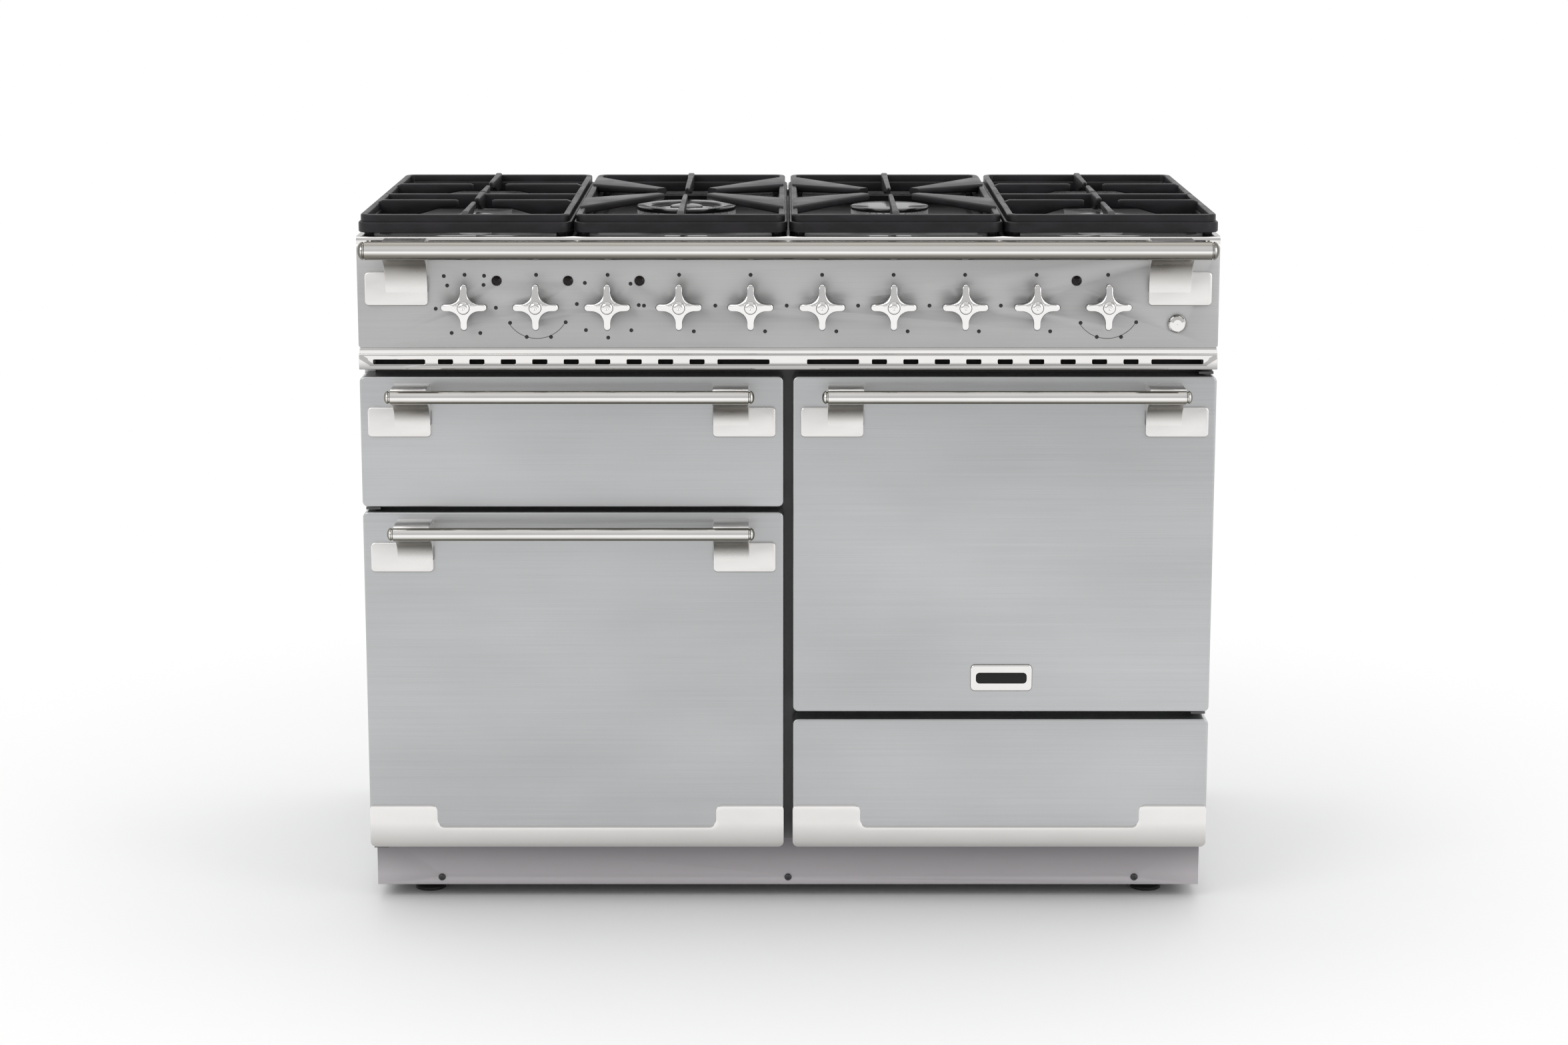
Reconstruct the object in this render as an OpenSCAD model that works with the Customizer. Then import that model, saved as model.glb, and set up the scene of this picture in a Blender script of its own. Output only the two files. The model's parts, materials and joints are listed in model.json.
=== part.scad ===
// Free-standing range cooker: six gas burners, a glide-out grill, two ovens with
// side-opening doors and a storage drawer. Millimetres. The floor is z = 0, the
// fronts face -Y and the origin is under the middle of the whole cooker.

/* [Overall size] */
// Width across the doors and the hob
body_w = 1092; // [1040:1:1180]
// Depth from the door faces to the back panel
body_d = 600; // [580:1:660]
// Reach of the handrail in front of the door faces
rail_reach = 60; // [56:1:70]

/* [Front layout] */
// Gap between the left and the right column of doors
centre_gap = 12; // [8:1:20]
// Height of the polished edge round the hob
hob_edge_h = 10; // [8:0.5:14]
// Height of the control fascia
fascia_h = 131; // [120:1:140]
// Shadow gap between the fascia and the vent trim
fascia_gap = 8; // [4:1:12]
// Height of the slotted vent trim
vent_h = 20; // [16:1:24]
// Gap between the vent trim and the doors
vent_gap = 9; // [7:1:12]
// Height of the grill front
grill_h = 169; // [160:1:180]
// Gap between two fronts in the left column
row_gap = 7; // [7:1:10]
// Height of the left oven door
left_oven_h = 446; // [430:1:456]
// Height of the right oven door
right_oven_h = 440; // [420:1:450]
// Gap between the right oven door and the drawer
drawer_gap = 10; // [8:1:14]
// Corner radius of the fronts
front_r = 7; // [3:0.5:10]

/* [Sheet metal] */
// Thickness of a door from its face to its inner panel
door_t = 38; // [34:1:44]
// Space between a closed door and the chassis front
seal_gap = 6; // [5:0.5:9]
// Thickness of the panels and liners
sheet = 1.5; // [1:0.1:2]
// Thickness of the door skins
skin = 1.2; // [0.8:0.1:1.8]
// Step from the door edge in to the outer side panel
side_inset = 2; // [1:0.5:4]
// Height of the plinth's lower edge above the floor
plinth_clear = 20; // [10:1:30]
// Height of the plinth
plinth_h = 66; // [56:1:90]
// Set-back of the plinth behind the door faces
plinth_back = 50; // [48:1:70]

/* [Ovens] */
// Margin from a door's sides to its cavity
cavity_side = 50; // [46:1:60]
// Margin from a door's top and bottom edges to its cavity
cavity_margin = 41; // [38:1:48]
// Margin from the grill front's edges to its chamber
grill_margin = 20; // [18:1:26]
// Depth of an oven cavity as far as the fan cover
cavity_d = 400; // [380:1:410]
// Depth of the fan space behind its cover
fan_d = 45; // [40:1:50]
// Depth of the grill chamber
grill_d = 360; // [345:1:380]
// Width of the flange round each mouth
flange_w = 24; // [20:1:26]
// Pitch of the shelf positions
shelf_pitch = 70; // [50:1:75]
// Radius of a fan impeller
fan_r = 70; // [55:1:78]

/* [Hob] */
// Radius of the small burner
small_r = 27; // [24:1:32]
// Radius of a medium burner
medium_r = 37; // [34:1:42]
// Radius of the large burner
large_r = 52; // [46:1:56]
// Radius of the wok burner
wok_r = 66; // [60:1:70]
// Distance of the front burners behind the door faces
front_burner = 165; // [150:1:175]
// Distance of the rear burners behind the door faces
rear_burner = 382; // [370:1:400]
// Distance of the two centre burners behind the door faces
centre_burner = 285; // [270:1:300]
// Height of the pan supports above the hob rim
support_h = 30; // [26:1:36]
// Width of the lower frame bar of a pan support
frame_bar = 13; // [10:1:16]
// Thickness of a pan support finger
finger_t = 7; // [5:0.5:9]
// Depth of the rear vent strip
rear_vent_d = 42; // [34:1:50]
// Rise of the rear vent strip above the rim
rear_vent_rise = 7; // [3:1:12]

/* [Controls] */
// Distance from the fascia's left end to the first knob
knob_left = 136.35; // [120:0.05:150]
// Distance from the fascia's right end to the last knob
knob_right = 141.15; // [125:0.05:155]
// Depth of the row of knobs below the rim
knob_drop = 88; // [82:1:94]
// Reach of a knob's arms from its axis
knob_r = 29.5; // [26:0.5:34]
// Half width of a knob's arm
arm_half = 5; // [4:0.5:6]
// Radius of a knob's spindle
spindle_r = 3; // [2.5:0.1:4]
// Push of a gas knob before it turns
push_travel = 4.5; // [3:0.5:6]
// Radius of a gas tap's turning plug
plug_r = 6; // [5.5:0.1:7]
// Radius of the light button
button_r = 11; // [9:0.5:12]
// Distance from the fascia's right end to the light button
button_inset = 52.5; // [45:0.5:60]
// Depth of the light button below the row of knobs
button_drop = 23; // [16:1:28]
// Push of the light button
button_travel = 2; // [1:0.5:3]
// Radius of an indicator lamp
lamp_r = 6; // [4:0.5:7]

/* [Storage drawer] */
// Margin from the drawer front's sides to its box
drawer_side = 25; // [24:1:40]
// Depth of the drawer's box behind the chassis front
drawer_d = 430; // [400:5:440]
// Space under the drawer's box
drawer_low = 14; // [10:1:20]
// Space from the top of the drawer front down to the box
drawer_high = 34; // [30:1:60]

/* [Handles] */
// Radius of a door handle's bar
bar_r = 8.25; // [6:0.25:9]
// Radius of the handrail
rail_r = 11.5; // [10:0.5:13]
// Distance of a handle's bar in front of its door
bar_out = 49.5; // [44:0.5:49.5]
// Depth of a handle's bar below the top of its door
bar_drop = 19; // [17:1:24]
// Distance from the door's edge in to the end of the bar
bar_inset = 36.5; // [20:0.5:43]
// Width of a handle's foot plate
foot_w = 80; // [70:1:90]
// Height of a handle's foot plate
foot_h = 38.5; // [30:0.5:42]
// Width of a handle's bracket arm
bracket_w = 46; // [36:1:56]
// Distance from the door's edge in to the foot plate
foot_inset = 10; // [6:1:14]

/* [Fits] */
// Radial clearance of a shaft in its bore
shaft_fit = 0.1; // [0.05:0.01:0.1]
// Clearance between neighbours that move
run_gap = 0.3; // [0.3:0.05:0.5]
// Clearance of a fixed bar in its socket
socket_fit = 0.05; // [0.03:0.01:0.1]

/* [Hidden] */
$fn = 48;

// Places along Y and X
front_y = (rail_reach - body_d) / 2;
back_y = front_y + body_d;
half_w = body_w / 2;
col_in = centre_gap / 2;
col_x = (half_w + col_in) / 2;
door_w = half_w - col_in;
side_x = half_w - side_inset;
inner_x = side_x - sheet;
chassis_y = front_y + door_t + seal_gap;
flange_y = chassis_y - sheet;
door_back = front_y + door_t;
plinth_y = front_y + plinth_back;

// Heights, from the floor up
base_z = plinth_clear + plinth_h;
base_t = 2;
doors_bot = base_z + 1;
left_top = doors_bot + left_oven_h;
grill_bot = left_top + row_gap;
doors_top = grill_bot + grill_h;
right_bot = doors_top - right_oven_h;
drawer_top = right_bot - drawer_gap;
vent_bot = doors_top + vent_gap;
vent_top = vent_bot + vent_h;
fascia_bot = vent_top + fascia_gap;
fascia_top = fascia_bot + fascia_h;
body_top = fascia_top + 1;
rim_z = body_top + hob_edge_h;

// Cavities
cav_half = door_w / 2 - cavity_side;
left_cav = [doors_bot + cavity_margin, left_top - cavity_margin];
right_cav = [right_bot + cavity_margin, doors_top - cavity_margin];
grill_cav = [grill_bot + grill_margin, doors_top - grill_margin];
ledge_w = 9;
ledge_t = 3;
mouth_gap = 4.5;

// Door hinges
hinge_inset = 12;
hinge_back = 18;
hinge_y = front_y + hinge_back;
hinge_x = half_w - hinge_inset;
pin_r = 4;
pin_len = 12;
hinge_plate_t = 3;
hinge_block = 22;
hinge_plate_in = hinge_x - 10;
hinge_plate_y = [hinge_y - 9, chassis_y + 14];
hinge_plate_z = [
    doors_bot - 1 - hinge_plate_t, left_top + (row_gap - hinge_plate_t) / 2,
    right_bot - 2 - hinge_plate_t, doors_top + 2
];
notch_gap = 0.5;

// Hob
edge_front = 10;
edge_side = 8;
hob_x = half_w - edge_side;
hob_y0 = front_y + edge_front;
hob_y1 = back_y - rear_vent_d;
deck_z = rim_z - 2;
well_z = deck_z - 12;
well_wall = 22;
column_w = body_w / 4;
columns = [for (i = [0:3]) (i - 1.5) * column_w];
front_b = front_y + front_burner;
rear_b = front_y + rear_burner;
centre_b = front_y + centre_burner;
burners = [
    [columns[0], front_b, small_r], [columns[0], rear_b, medium_r], [columns[1], centre_b, wok_r],
    [columns[2], centre_b, large_r], [columns[3], rear_b, medium_r], [columns[3], front_b, medium_r]
];
crown_z = rim_z + 5;
cap_t = 6;
holder_z = rim_z - 43;
holder_r = 12;
support_w = column_w - 2;
support_y0 = front_y + 4;
support_y1 = hob_y1 - 4;
frame_z = rim_z + 4;
frame_h = 13.5;
rib_step = 3;
rib_w = 8;
finger_z = rim_z + support_h;
frame_r = 18;

// Controls
knob_count = 10;
knob_z = rim_z - knob_drop;
knob_pitch = (body_w - knob_left - knob_right) / (knob_count - 1);
function knob_x(i) = -half_w + knob_left + i * knob_pitch;
electric = [0, 1, 2, 9];
gas_first = 3;
gas_count = 6;
knob_gap = push_travel + 2;
knob_depth = 30;
lamp_dx = 40.3;
lamp_rise = 31.6;
button_x = half_w - button_inset;
button_z = knob_z - button_drop;
tap_r = 11;
tap_len = 44;
plug_front = push_travel + 1.5;
plug_len = 28;
plug_back = plug_front + plug_len;
spindle_len = 24;
pipe_r = 9.5;
pipe_out = tap_len + pipe_r;
tube_r = 4;
elbow = 1.5;
tube_z = holder_z - tube_r - elbow - 0.5;
inlet_x = half_w - 91;
pipe_end = 30;
inlet_bore_r = 9.3;
inlet_bore_len = 22;
switch_r = 18;
switch_len = 32;
hole_r = spindle_r + 2;
spindle_flat = spindle_r * 0.7;
button_flange = 1.5;
button_stem = 16;

// Grill slide and drawer
rail_lip = 10;
grill_rail_z = grill_cav[0] + 18;
grill_rail_h = 12;
grill_rail_len = 330;
pan_z = grill_rail_z + ledge_t + run_gap + 3;
drawer_w = door_w - 2 * drawer_side;
drawer_z0 = doors_bot + drawer_low;
drawer_z1 = drawer_top - drawer_high;
runner_z = drawer_z0 + 50;
runner_len = drawer_d + 10;
shelf_drop = 6;

// Feet, rear services
foot_pad_r = 20;
foot_stem_r = 6;
foot_x = half_w - 66;
foot_y = [plinth_y + 55, back_y - 50];
cover_w = 100;
cover_h = 70;
cover_d = 40;
gland_x = inner_x - 120;
gland_z = (base_z + base_t + right_bot - shelf_drop) / 2;
gland_r = 7.5;
gland_len = 14;

// ---------- shared shapes ----------

// A box between two corners
module box(x0, x1, y0, y1, z0, z1) {
    translate([x0, y0, z0]) cube([x1 - x0, y1 - y0, z1 - z0]);
}

// A flat rectangle with round corners
module rounded(x0, x1, z0, z1, r) {
    translate([x0 + r, z0]) square([x1 - x0 - 2 * r, z1 - z0]);
    translate([x0, z0 + r]) square([x1 - x0, z1 - z0 - 2 * r]);
    for (x = [x0 + r, x1 - r], z = [z0 + r, z1 - r]) translate([x, z]) circle(r);
}

// A front view outline carried through the depth from y0 to y1
module through_y(y0, y1) {
    translate([0, y1, 0]) rotate([90, 0, 0]) linear_extrude(y1 - y0) children();
}

// A side view outline, in y and z, carried across from x0 to x1
module across_x(x0, x1) {
    translate([x0, 0, 0]) rotate([90, 0, 90]) linear_extrude(x1 - x0) children();
}

// Local +Z points out of the cooker's front at (x, z)
module on_front(x, z) {
    translate([x, front_y, z]) rotate([90, 0, 0]) children();
}

// A bar along X, turned with a chamfer at each end
module turned_bar(x0, x1, r, chamfer) {
    translate([x0, 0, 0]) rotate([0, 90, 0]) rotate_extrude()
        polygon([
            [0, 0], [r - chamfer, 0], [r, chamfer], [r, x1 - x0 - chamfer],
            [r - chamfer, x1 - x0], [0, x1 - x0]
        ]);
}

// A straight rod between two points
module rod(a, b, r) {
    d = b - a;
    translate(a) rotate([0, acos(d[2] / norm(d)), atan2(d[1], d[0])]) cylinder(h = norm(d), r = r);
}

// ---------- chassis and panels ----------

// The pressed frame round one mouth in the chassis front
module mouth(cx, z0, z1) {
    box(cx - cav_half - mouth_gap - sheet, cx + cav_half + mouth_gap + sheet,
        chassis_y - 1, chassis_y + 3, z0 - mouth_gap - sheet, z1 + mouth_gap + sheet);
}

// A hinge bracket and its riveted pin; up is 1 for a pin that points up
module hinge_bracket(side, z, up) {
    mirror([side < 0 ? 1 : 0, 0, 0])
        box(hinge_plate_in, inner_x, hinge_plate_y[0], hinge_plate_y[1], z, z + hinge_plate_t);
    translate([side * hinge_x, hinge_y, up > 0 ? z + hinge_plate_t : z - pin_len])
        cylinder(h = pin_len, r = pin_r);
}

// The space that a hinge bracket needs through the pieces beside it
module bracket_notch(side, z) {
    mirror([side < 0 ? 1 : 0, 0, 0])
        box(hinge_plate_in - notch_gap, inner_x, hinge_plate_y[0], hinge_plate_y[1] + notch_gap,
            z - notch_gap, z + hinge_plate_t + notch_gap);
}

// The drawer's running ledge, standing on the base
module drawer_runner(side) {
    edge = drawer_w / 2 + run_gap + 1;
    mirror([side < 0 ? 1 : 0, 0, 0]) {
        box(edge + 6, edge + 8, chassis_y + base_t, chassis_y + runner_len, base_z + base_t,
            runner_z + 20);
        box(edge, edge + 6, chassis_y + base_t, chassis_y + runner_len, runner_z, runner_z + ledge_t);
    }
}

module chassis() {
    front_t = 2;
    rear = back_y - sheet;
    color("dimgray") {
        box(-inner_x, inner_x, chassis_y, rear, base_z, base_z + base_t);
        difference() {
            box(-inner_x, inner_x, chassis_y, chassis_y + front_t, base_z, vent_top);
            mouth(-col_x, left_cav[0], left_cav[1]);
            mouth(-col_x, grill_cav[0], grill_cav[1]);
            mouth(col_x, right_cav[0], right_cav[1]);
            box(col_x - drawer_w / 2 - 12, col_x + drawer_w / 2 + 12, chassis_y - 1, chassis_y + 3,
                base_z + base_t + 4, drawer_top - shelf_drop);
        }
        for (x = [-col_in, col_in - sheet]) box(x, x + sheet, chassis_y, rear, base_z, vent_top);
        box(-inner_x, -col_in + sheet, chassis_y, rear, grill_bot - 5, grill_bot - 5 + base_t);
        box(col_in - sheet, inner_x, chassis_y, rear, right_bot - shelf_drop,
            right_bot - shelf_drop + base_t);
        box(-inner_x, inner_x, chassis_y, rear, vent_top - base_t, vent_top);
        translate([col_x, 0, 0]) drawer_runner(1);
        translate([col_x, 0, 0]) drawer_runner(-1);
        hinge_bracket(-1, hinge_plate_z[0], 1);
        hinge_bracket(-1, hinge_plate_z[1], -1);
        hinge_bracket(1, hinge_plate_z[2], 1);
        hinge_bracket(1, hinge_plate_z[3], -1);
    }
}

// One side panel, folded round the chassis front
module side_panel(side) {
    fold = 12;
    x0 = side < 0 ? -side_x : inner_x;
    lip0 = side < 0 ? -inner_x : inner_x - fold;
    color("silver") {
        across_x(x0, x0 + sheet) polygon([
            [flange_y, base_z], [flange_y, body_top], [back_y - sheet, body_top],
            [back_y - sheet, plinth_clear], [plinth_y + sheet, plinth_clear],
            [plinth_y + sheet, base_z]
        ]);
        difference() {
            box(lip0, lip0 + fold, flange_y, chassis_y, base_z, body_top);
            for (z = side < 0 ? [hinge_plate_z[1]] : [hinge_plate_z[2], hinge_plate_z[3]])
                bracket_notch(side, z);
        }
    }
}

module side_panel_left() side_panel(-1);

module side_panel_right() side_panel(1);

module back_panel() {
    color("lightgray") difference() {
        box(-side_x, side_x, back_y - sheet, back_y, plinth_clear, body_top);
        translate([inlet_x, back_y + 1, knob_z]) rotate([90, 0, 0]) cylinder(h = 4, r = 15);
        box(gland_x - cover_w / 2, gland_x + cover_w / 2, back_y - 3, back_y + 1,
            gland_z - cover_h / 2, gland_z + cover_h / 2);
        for (i = [-5:5], k = [0:1])
            box(i * 40 - 14, i * 40 + 14, back_y - 3, back_y + 1, vent_bot - 30 + k * 16,
                vent_bot - 22 + k * 16);
    }
}

module plinth() {
    fold = 30;
    color("silver") difference() {
        union() {
            box(-side_x, side_x, plinth_y, plinth_y + sheet, plinth_clear, base_z);
            for (x = [-inner_x, inner_x - sheet])
                box(x, x + sheet, plinth_y, plinth_y + fold, plinth_clear, base_z);
            box(-inner_x, inner_x, plinth_y, plinth_y + fold / 2, plinth_clear, plinth_clear + sheet);
        }
        for (x = [-1, 0, 1])
            translate([x * (side_x - 85), plinth_y - 1, plinth_clear + 10]) rotate([-90, 0, 0])
                cylinder(h = 4, r = 2.5);
        bracket_notch(-1, hinge_plate_z[0]);
    }
}

// Feet with a flared pad, a lock nut and a threaded stem
module levelling_feet() {
    color("black") for (x = [-foot_x, foot_x], y = foot_y) translate([x, y, 0]) {
        rotate_extrude() polygon([
            [0, 0], [foot_pad_r, 0], [foot_pad_r, 4], [foot_stem_r + 4, 12], [foot_stem_r, 14],
            [foot_stem_r, base_z], [0, base_z]
        ]);
        translate([0, 0, 22]) cylinder(h = 7, r = foot_stem_r + 5, $fn = 6);
    }
}

// Cover of the mains terminals, with a round gland for the cable
module terminal_cover() {
    wall = 2;
    color("black") difference() {
        union() {
            difference() {
                box(gland_x - cover_w / 2, gland_x + cover_w / 2, back_y - cover_d, back_y,
                    gland_z - cover_h / 2, gland_z + cover_h / 2);
                box(gland_x - cover_w / 2 + wall, gland_x + cover_w / 2 - wall, back_y - cover_d - 1,
                    back_y - wall, gland_z - cover_h / 2 + wall, gland_z + cover_h / 2 - wall);
            }
            translate([gland_x, back_y, gland_z]) rotate([90, 0, 0])
                cylinder(h = gland_len, r = gland_r + 4);
        }
        translate([gland_x, back_y + 1, gland_z]) rotate([90, 0, 0])
            cylinder(h = gland_len + 2, r = gland_r);
    }
}

// ---------- front trims ----------

module fascia() {
    depth = flange_y - front_y;
    top_return = 24;
    color("silver") difference() {
        through_y(front_y, front_y + depth) rounded(-half_w, half_w, fascia_bot, fascia_top, 4);
        box(-half_w + sheet, half_w - sheet, front_y + sheet, front_y + depth + 1,
            fascia_bot + sheet, fascia_top - sheet);
        box(-half_w + sheet, half_w - sheet, front_y + top_return, front_y + depth + 1,
            fascia_top - sheet - 1, fascia_top + 1);
        for (i = [0:knob_count - 1])
            on_front(knob_x(i), knob_z) translate([0, 0, -4]) cylinder(h = 6, r = hole_r);
        for (x = lamp_x()) on_front(x, knob_z + lamp_rise) translate([0, 0, -4])
            cylinder(h = 6, r = lamp_r + socket_fit);
        on_front(button_x, button_z) translate([0, 0, -4]) cylinder(h = 6, r = button_r + run_gap);
    }
}

function lamp_x() = [for (i = [0, 1, 2]) knob_x(i) + lamp_dx, knob_x(9) - lamp_dx + 0.6];

// The slotted strip under the fascia: long slots at the ends of each half, short ones between
module vent_trim() {
    slot_h = 6;
    long_w = 66;
    short_w = 19;
    slot_margin = 18;
    slot_gap = 16.5;
    short_count = 9;
    long_x = door_w / 2 - slot_margin - long_w / 2;
    short_x = long_x - (long_w + short_w) / 2 - slot_gap;
    end_wall = 14;
    mid_z = (vent_top + vent_bot) / 2;
    color("silver") difference() {
        box(-half_w, half_w, front_y, flange_y, vent_bot, vent_top);
        box(-half_w + end_wall, half_w - end_wall, front_y + sheet, flange_y + 1, vent_bot + sheet,
            vent_top - sheet);
        for (side = [-1, 1]) translate([side * col_x, 0, 0]) {
            for (i = [0:short_count - 1])
                vent_slot(-short_x + i * 2 * short_x / (short_count - 1), short_w, mid_z, slot_h);
            for (end = [-1, 1]) vent_slot(end * long_x, long_w, mid_z, slot_h);
        }
    }
}

// One slot with round ends
module vent_slot(x, w, z, h) {
    through_y(front_y - 1, front_y + 3) rounded(x - w / 2, x + w / 2, z - h / 2, z + h / 2, 1.5);
}

module hob_edge() {
    color("gainsboro") difference() {
        union() {
            across_x(-half_w, half_w) {
                translate([front_y + 5, body_top]) square([edge_front - 5, hob_edge_h]);
                translate([front_y, body_top]) square([6, hob_edge_h - 5]);
                translate([front_y + 5, rim_z - 5]) circle(5);
            }
            box(-half_w, half_w, front_y + edge_front - 1, hob_y1, body_top, rim_z);
        }
        box(-hob_x, hob_x, hob_y0, hob_y1 + 1, body_top - 1, rim_z + 1);
    }
}

// The rear strip: an upstand with a row of outlet slots in its top
module rear_vent() {
    top = rim_z + rear_vent_rise;
    slot_w = 62;
    pitch = 78;
    color("silver") difference() {
        across_x(-half_w + edge_side, half_w - edge_side) {
            translate([hob_y1, body_top]) square([rear_vent_d, top - body_top - 4]);
            translate([hob_y1 + 4, top - 5]) square([rear_vent_d - 4, 5]);
            translate([hob_y1 + 4, top - 4]) circle(4);
        }
        box(-half_w + edge_side + sheet, half_w - edge_side - sheet, hob_y1 + sheet,
            back_y - sheet, body_top - 1, top - sheet - 1);
        for (i = [-6:6], k = [0:1]) {
            y = hob_y1 + 14 + k * 12;
            box(i * pitch - slot_w / 2, i * pitch + slot_w / 2, y, y + 6, top - 8, top + 1);
        }
    }
}

// ---------- hob ----------

module hotplate() {
    deck_t = 3.5;
    color("black") difference() {
        union() {
            box(-hob_x, hob_x, hob_y0, hob_y1, deck_z - 2, deck_z);
            for (x = columns) well_block(x, 0, well_z - sheet, deck_z - 1);
            for (x = [-hob_x, hob_x - sheet])
                box(x, x + sheet, hob_y0, hob_y1, body_top, deck_z);
        }
        for (x = columns) well_block(x, sheet, well_z, deck_z + deck_t);
        for (b = burners) translate([b[0], b[1], well_z - 3]) cylinder(h = 6, r = holder_r + 0.5);
    }
}

// The block that one spill well fills, drawn in by a margin
module well_block(x, margin, z0, z1) {
    half = column_w / 2 - well_wall - margin;
    translate([0, 0, z0]) linear_extrude(z1 - z0)
        rounded(x - half, x + half, hob_y0 + well_wall + margin, hob_y1 - well_wall - margin,
            20 - margin);
}

// A burner's aluminium body: mixing tube, flared cup and crown with flame slots
module burner_body(x, y, r) {
    slots = r > 40 ? 16 : 12;
    inner = r > 60;
    translate([x, y, 0]) difference() {
        union() {
            rotate_extrude() polygon([
                [0, holder_z], [holder_r, holder_z], [holder_r, well_z], [r * 0.8, well_z],
                [r * 0.8, well_z + 5], [r - 6, well_z + 9], [r, crown_z - 6], [r, crown_z],
                [0, crown_z]
            ]);
        }
        difference() {
            for (i = [0:slots - 1]) rotate([0, 0, i * 180 / slots])
                translate([-r - 1, -1, crown_z - 4]) cube([2 * r + 2, 2, 5]);
            translate([0, 0, crown_z - 5]) cylinder(h = 7, r = r - 7);
        }
        if (inner) translate([0, 0, crown_z - 10]) difference() {
            cylinder(h = 12, r = r - 20);
            translate([0, 0, -1]) cylinder(h = 14, r = 22);
        }
    }
}

module burner_bodies() {
    color("gainsboro") for (b = burners) burner_body(b[0], b[1], b[2]);
}

// A burner's enamelled lid, with a rounded edge and a shallow dome
module burner_lid(r, hole) {
    dome = 2;
    rotate_extrude() difference() {
        polygon([
            [0, 0], [r, 0], [r + 1, 1.5], [r + 1, cap_t - 2], [r - 2, cap_t], [r / 2, cap_t + dome * 0.8],
            [0, cap_t + dome]
        ]);
        if (hole > 0) translate([-1, -1]) square([hole + 1, cap_t + dome + 2]);
    }
}

module burner_caps() {
    color("black") for (b = burners) translate([b[0], b[1], crown_z]) {
        if (b[2] > 60) {
            burner_lid(b[2], b[2] - 20);
            burner_lid(21, 0);
        } else burner_lid(b[2], 0);
    }
}

// One finger of a pan support, from the origin along +X; it thins towards its tip
module finger(length) {
    low = frame_z + 3;
    tip_low = finger_z - 11;
    translate([0, finger_t / 2, 0]) rotate([90, 0, 0]) linear_extrude(finger_t) polygon([
        [0, low], [length * 0.5, low + 3], [length * 0.78, tip_low], [length, tip_low + 2],
        [length, finger_z - 1.5], [length - 1.5, finger_z], [10, finger_z], [0, finger_z - 4]
    ]);
}

// The broad arm of a wok support: its sides sweep in from the frame to a narrow tip
function sweep_side(a, b, c) = [for (t = [0:0.2:1]) (1 - t) * (1 - t) * a + 2 * t * (1 - t) * b + t * t * c];

module broad_arm(sx, sy) {
    half = support_w / 2 - rib_step - 2;
    reach = 34;
    tip_w = 6;
    root_a = [sx * half, sy * 205];
    root_b = [sx * half, sy * 95];
    tip_a = [sx * (reach - tip_w), sy * (reach + tip_w)];
    tip_b = [sx * (reach + tip_w), sy * (reach - tip_w)];
    bend_a = [sx * 62, sy * 92];
    bend_b = [sx * 80, sy * 54];
    translate([0, 0, finger_z - 9]) linear_extrude(9)
        polygon(concat(sweep_side(root_a, bend_a, tip_a), sweep_side(tip_b, bend_b, root_b)));
}

// The stepped frame of a pan support with its four feet
module support_frame(cx) {
    x0 = cx - support_w / 2;
    x1 = cx + support_w / 2;
    y0 = support_y0;
    y1 = support_y1;
    translate([0, 0, frame_z]) linear_extrude(frame_h) difference() {
        rounded(x0, x1, y0, y1, frame_r);
        rounded(x0 + frame_bar, x1 - frame_bar, y0 + frame_bar, y1 - frame_bar, frame_r - frame_bar);
    }
    translate([0, 0, frame_z + frame_h - 1]) linear_extrude(finger_z - 3 - frame_z - frame_h + 1) difference() {
        rounded(x0 + rib_step, x1 - rib_step, y0 + rib_step, y1 - rib_step, frame_r - rib_step);
        rounded(x0 + rib_step + rib_w, x1 - rib_step - rib_w, y0 + rib_step + rib_w,
            y1 - rib_step - rib_w, frame_r - rib_step - rib_w);
    }
    for (x = [x0 + 14, x1 - 14], y = [y0 + 14, y1 - 14])
        translate([x, y, deck_z]) cylinder(h = frame_z - deck_z + 1, r = 6);
}

// Fingers of one burner, pointing in from the frame, a crossbar or both
module finger_pair_x(cx, y, tip) {
    half = support_w / 2 - rib_step - 2;
    for (a = [0, 180]) translate([cx, y, 0]) rotate([0, 0, a]) translate([-half, 0, 0])
        finger(half - tip);
}

module finger_along_y(cx, from_y, to_y) {
    translate([cx, from_y, 0]) rotate([0, 0, to_y > from_y ? 90 : -90]) finger(abs(to_y - from_y));
}

// A support over two burners, one behind the other
module double_support(cx) {
    tip = 22;
    mid = (front_b + rear_b) / 2;
    half = support_w / 2 - rib_step - 2;
    color("#2b2b2e") {
        support_frame(cx);
        box(cx - half, cx + half, mid - rib_w / 2, mid + rib_w / 2, frame_z + 3, finger_z - 3);
        for (y = [front_b, rear_b]) finger_pair_x(cx, y, tip);
        finger_along_y(cx, support_y0 + rib_step + 2, front_b - tip);
        finger_along_y(cx, mid, front_b + tip);
        finger_along_y(cx, mid, rear_b - tip);
        finger_along_y(cx, support_y1 - rib_step - 2, rear_b + tip);
    }
}

// A support over one large burner, with four broad arms and two fingers
module single_support(cx) {
    tip = 42;
    color("#2b2b2e") {
        support_frame(cx);
        translate([cx, centre_b, 0]) for (sx = [-1, 1], sy = [-1, 1]) broad_arm(sx, sy);
        finger_along_y(cx, support_y0 + rib_step + 2, centre_b - tip);
        finger_along_y(cx, support_y1 - rib_step - 2, centre_b + tip);
    }
}

module pan_support_1() double_support(columns[0]);

module pan_support_2() single_support(columns[1]);

module pan_support_3() single_support(columns[2]);

module pan_support_4() double_support(columns[3]);

// ---------- gas and electric controls ----------

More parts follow.
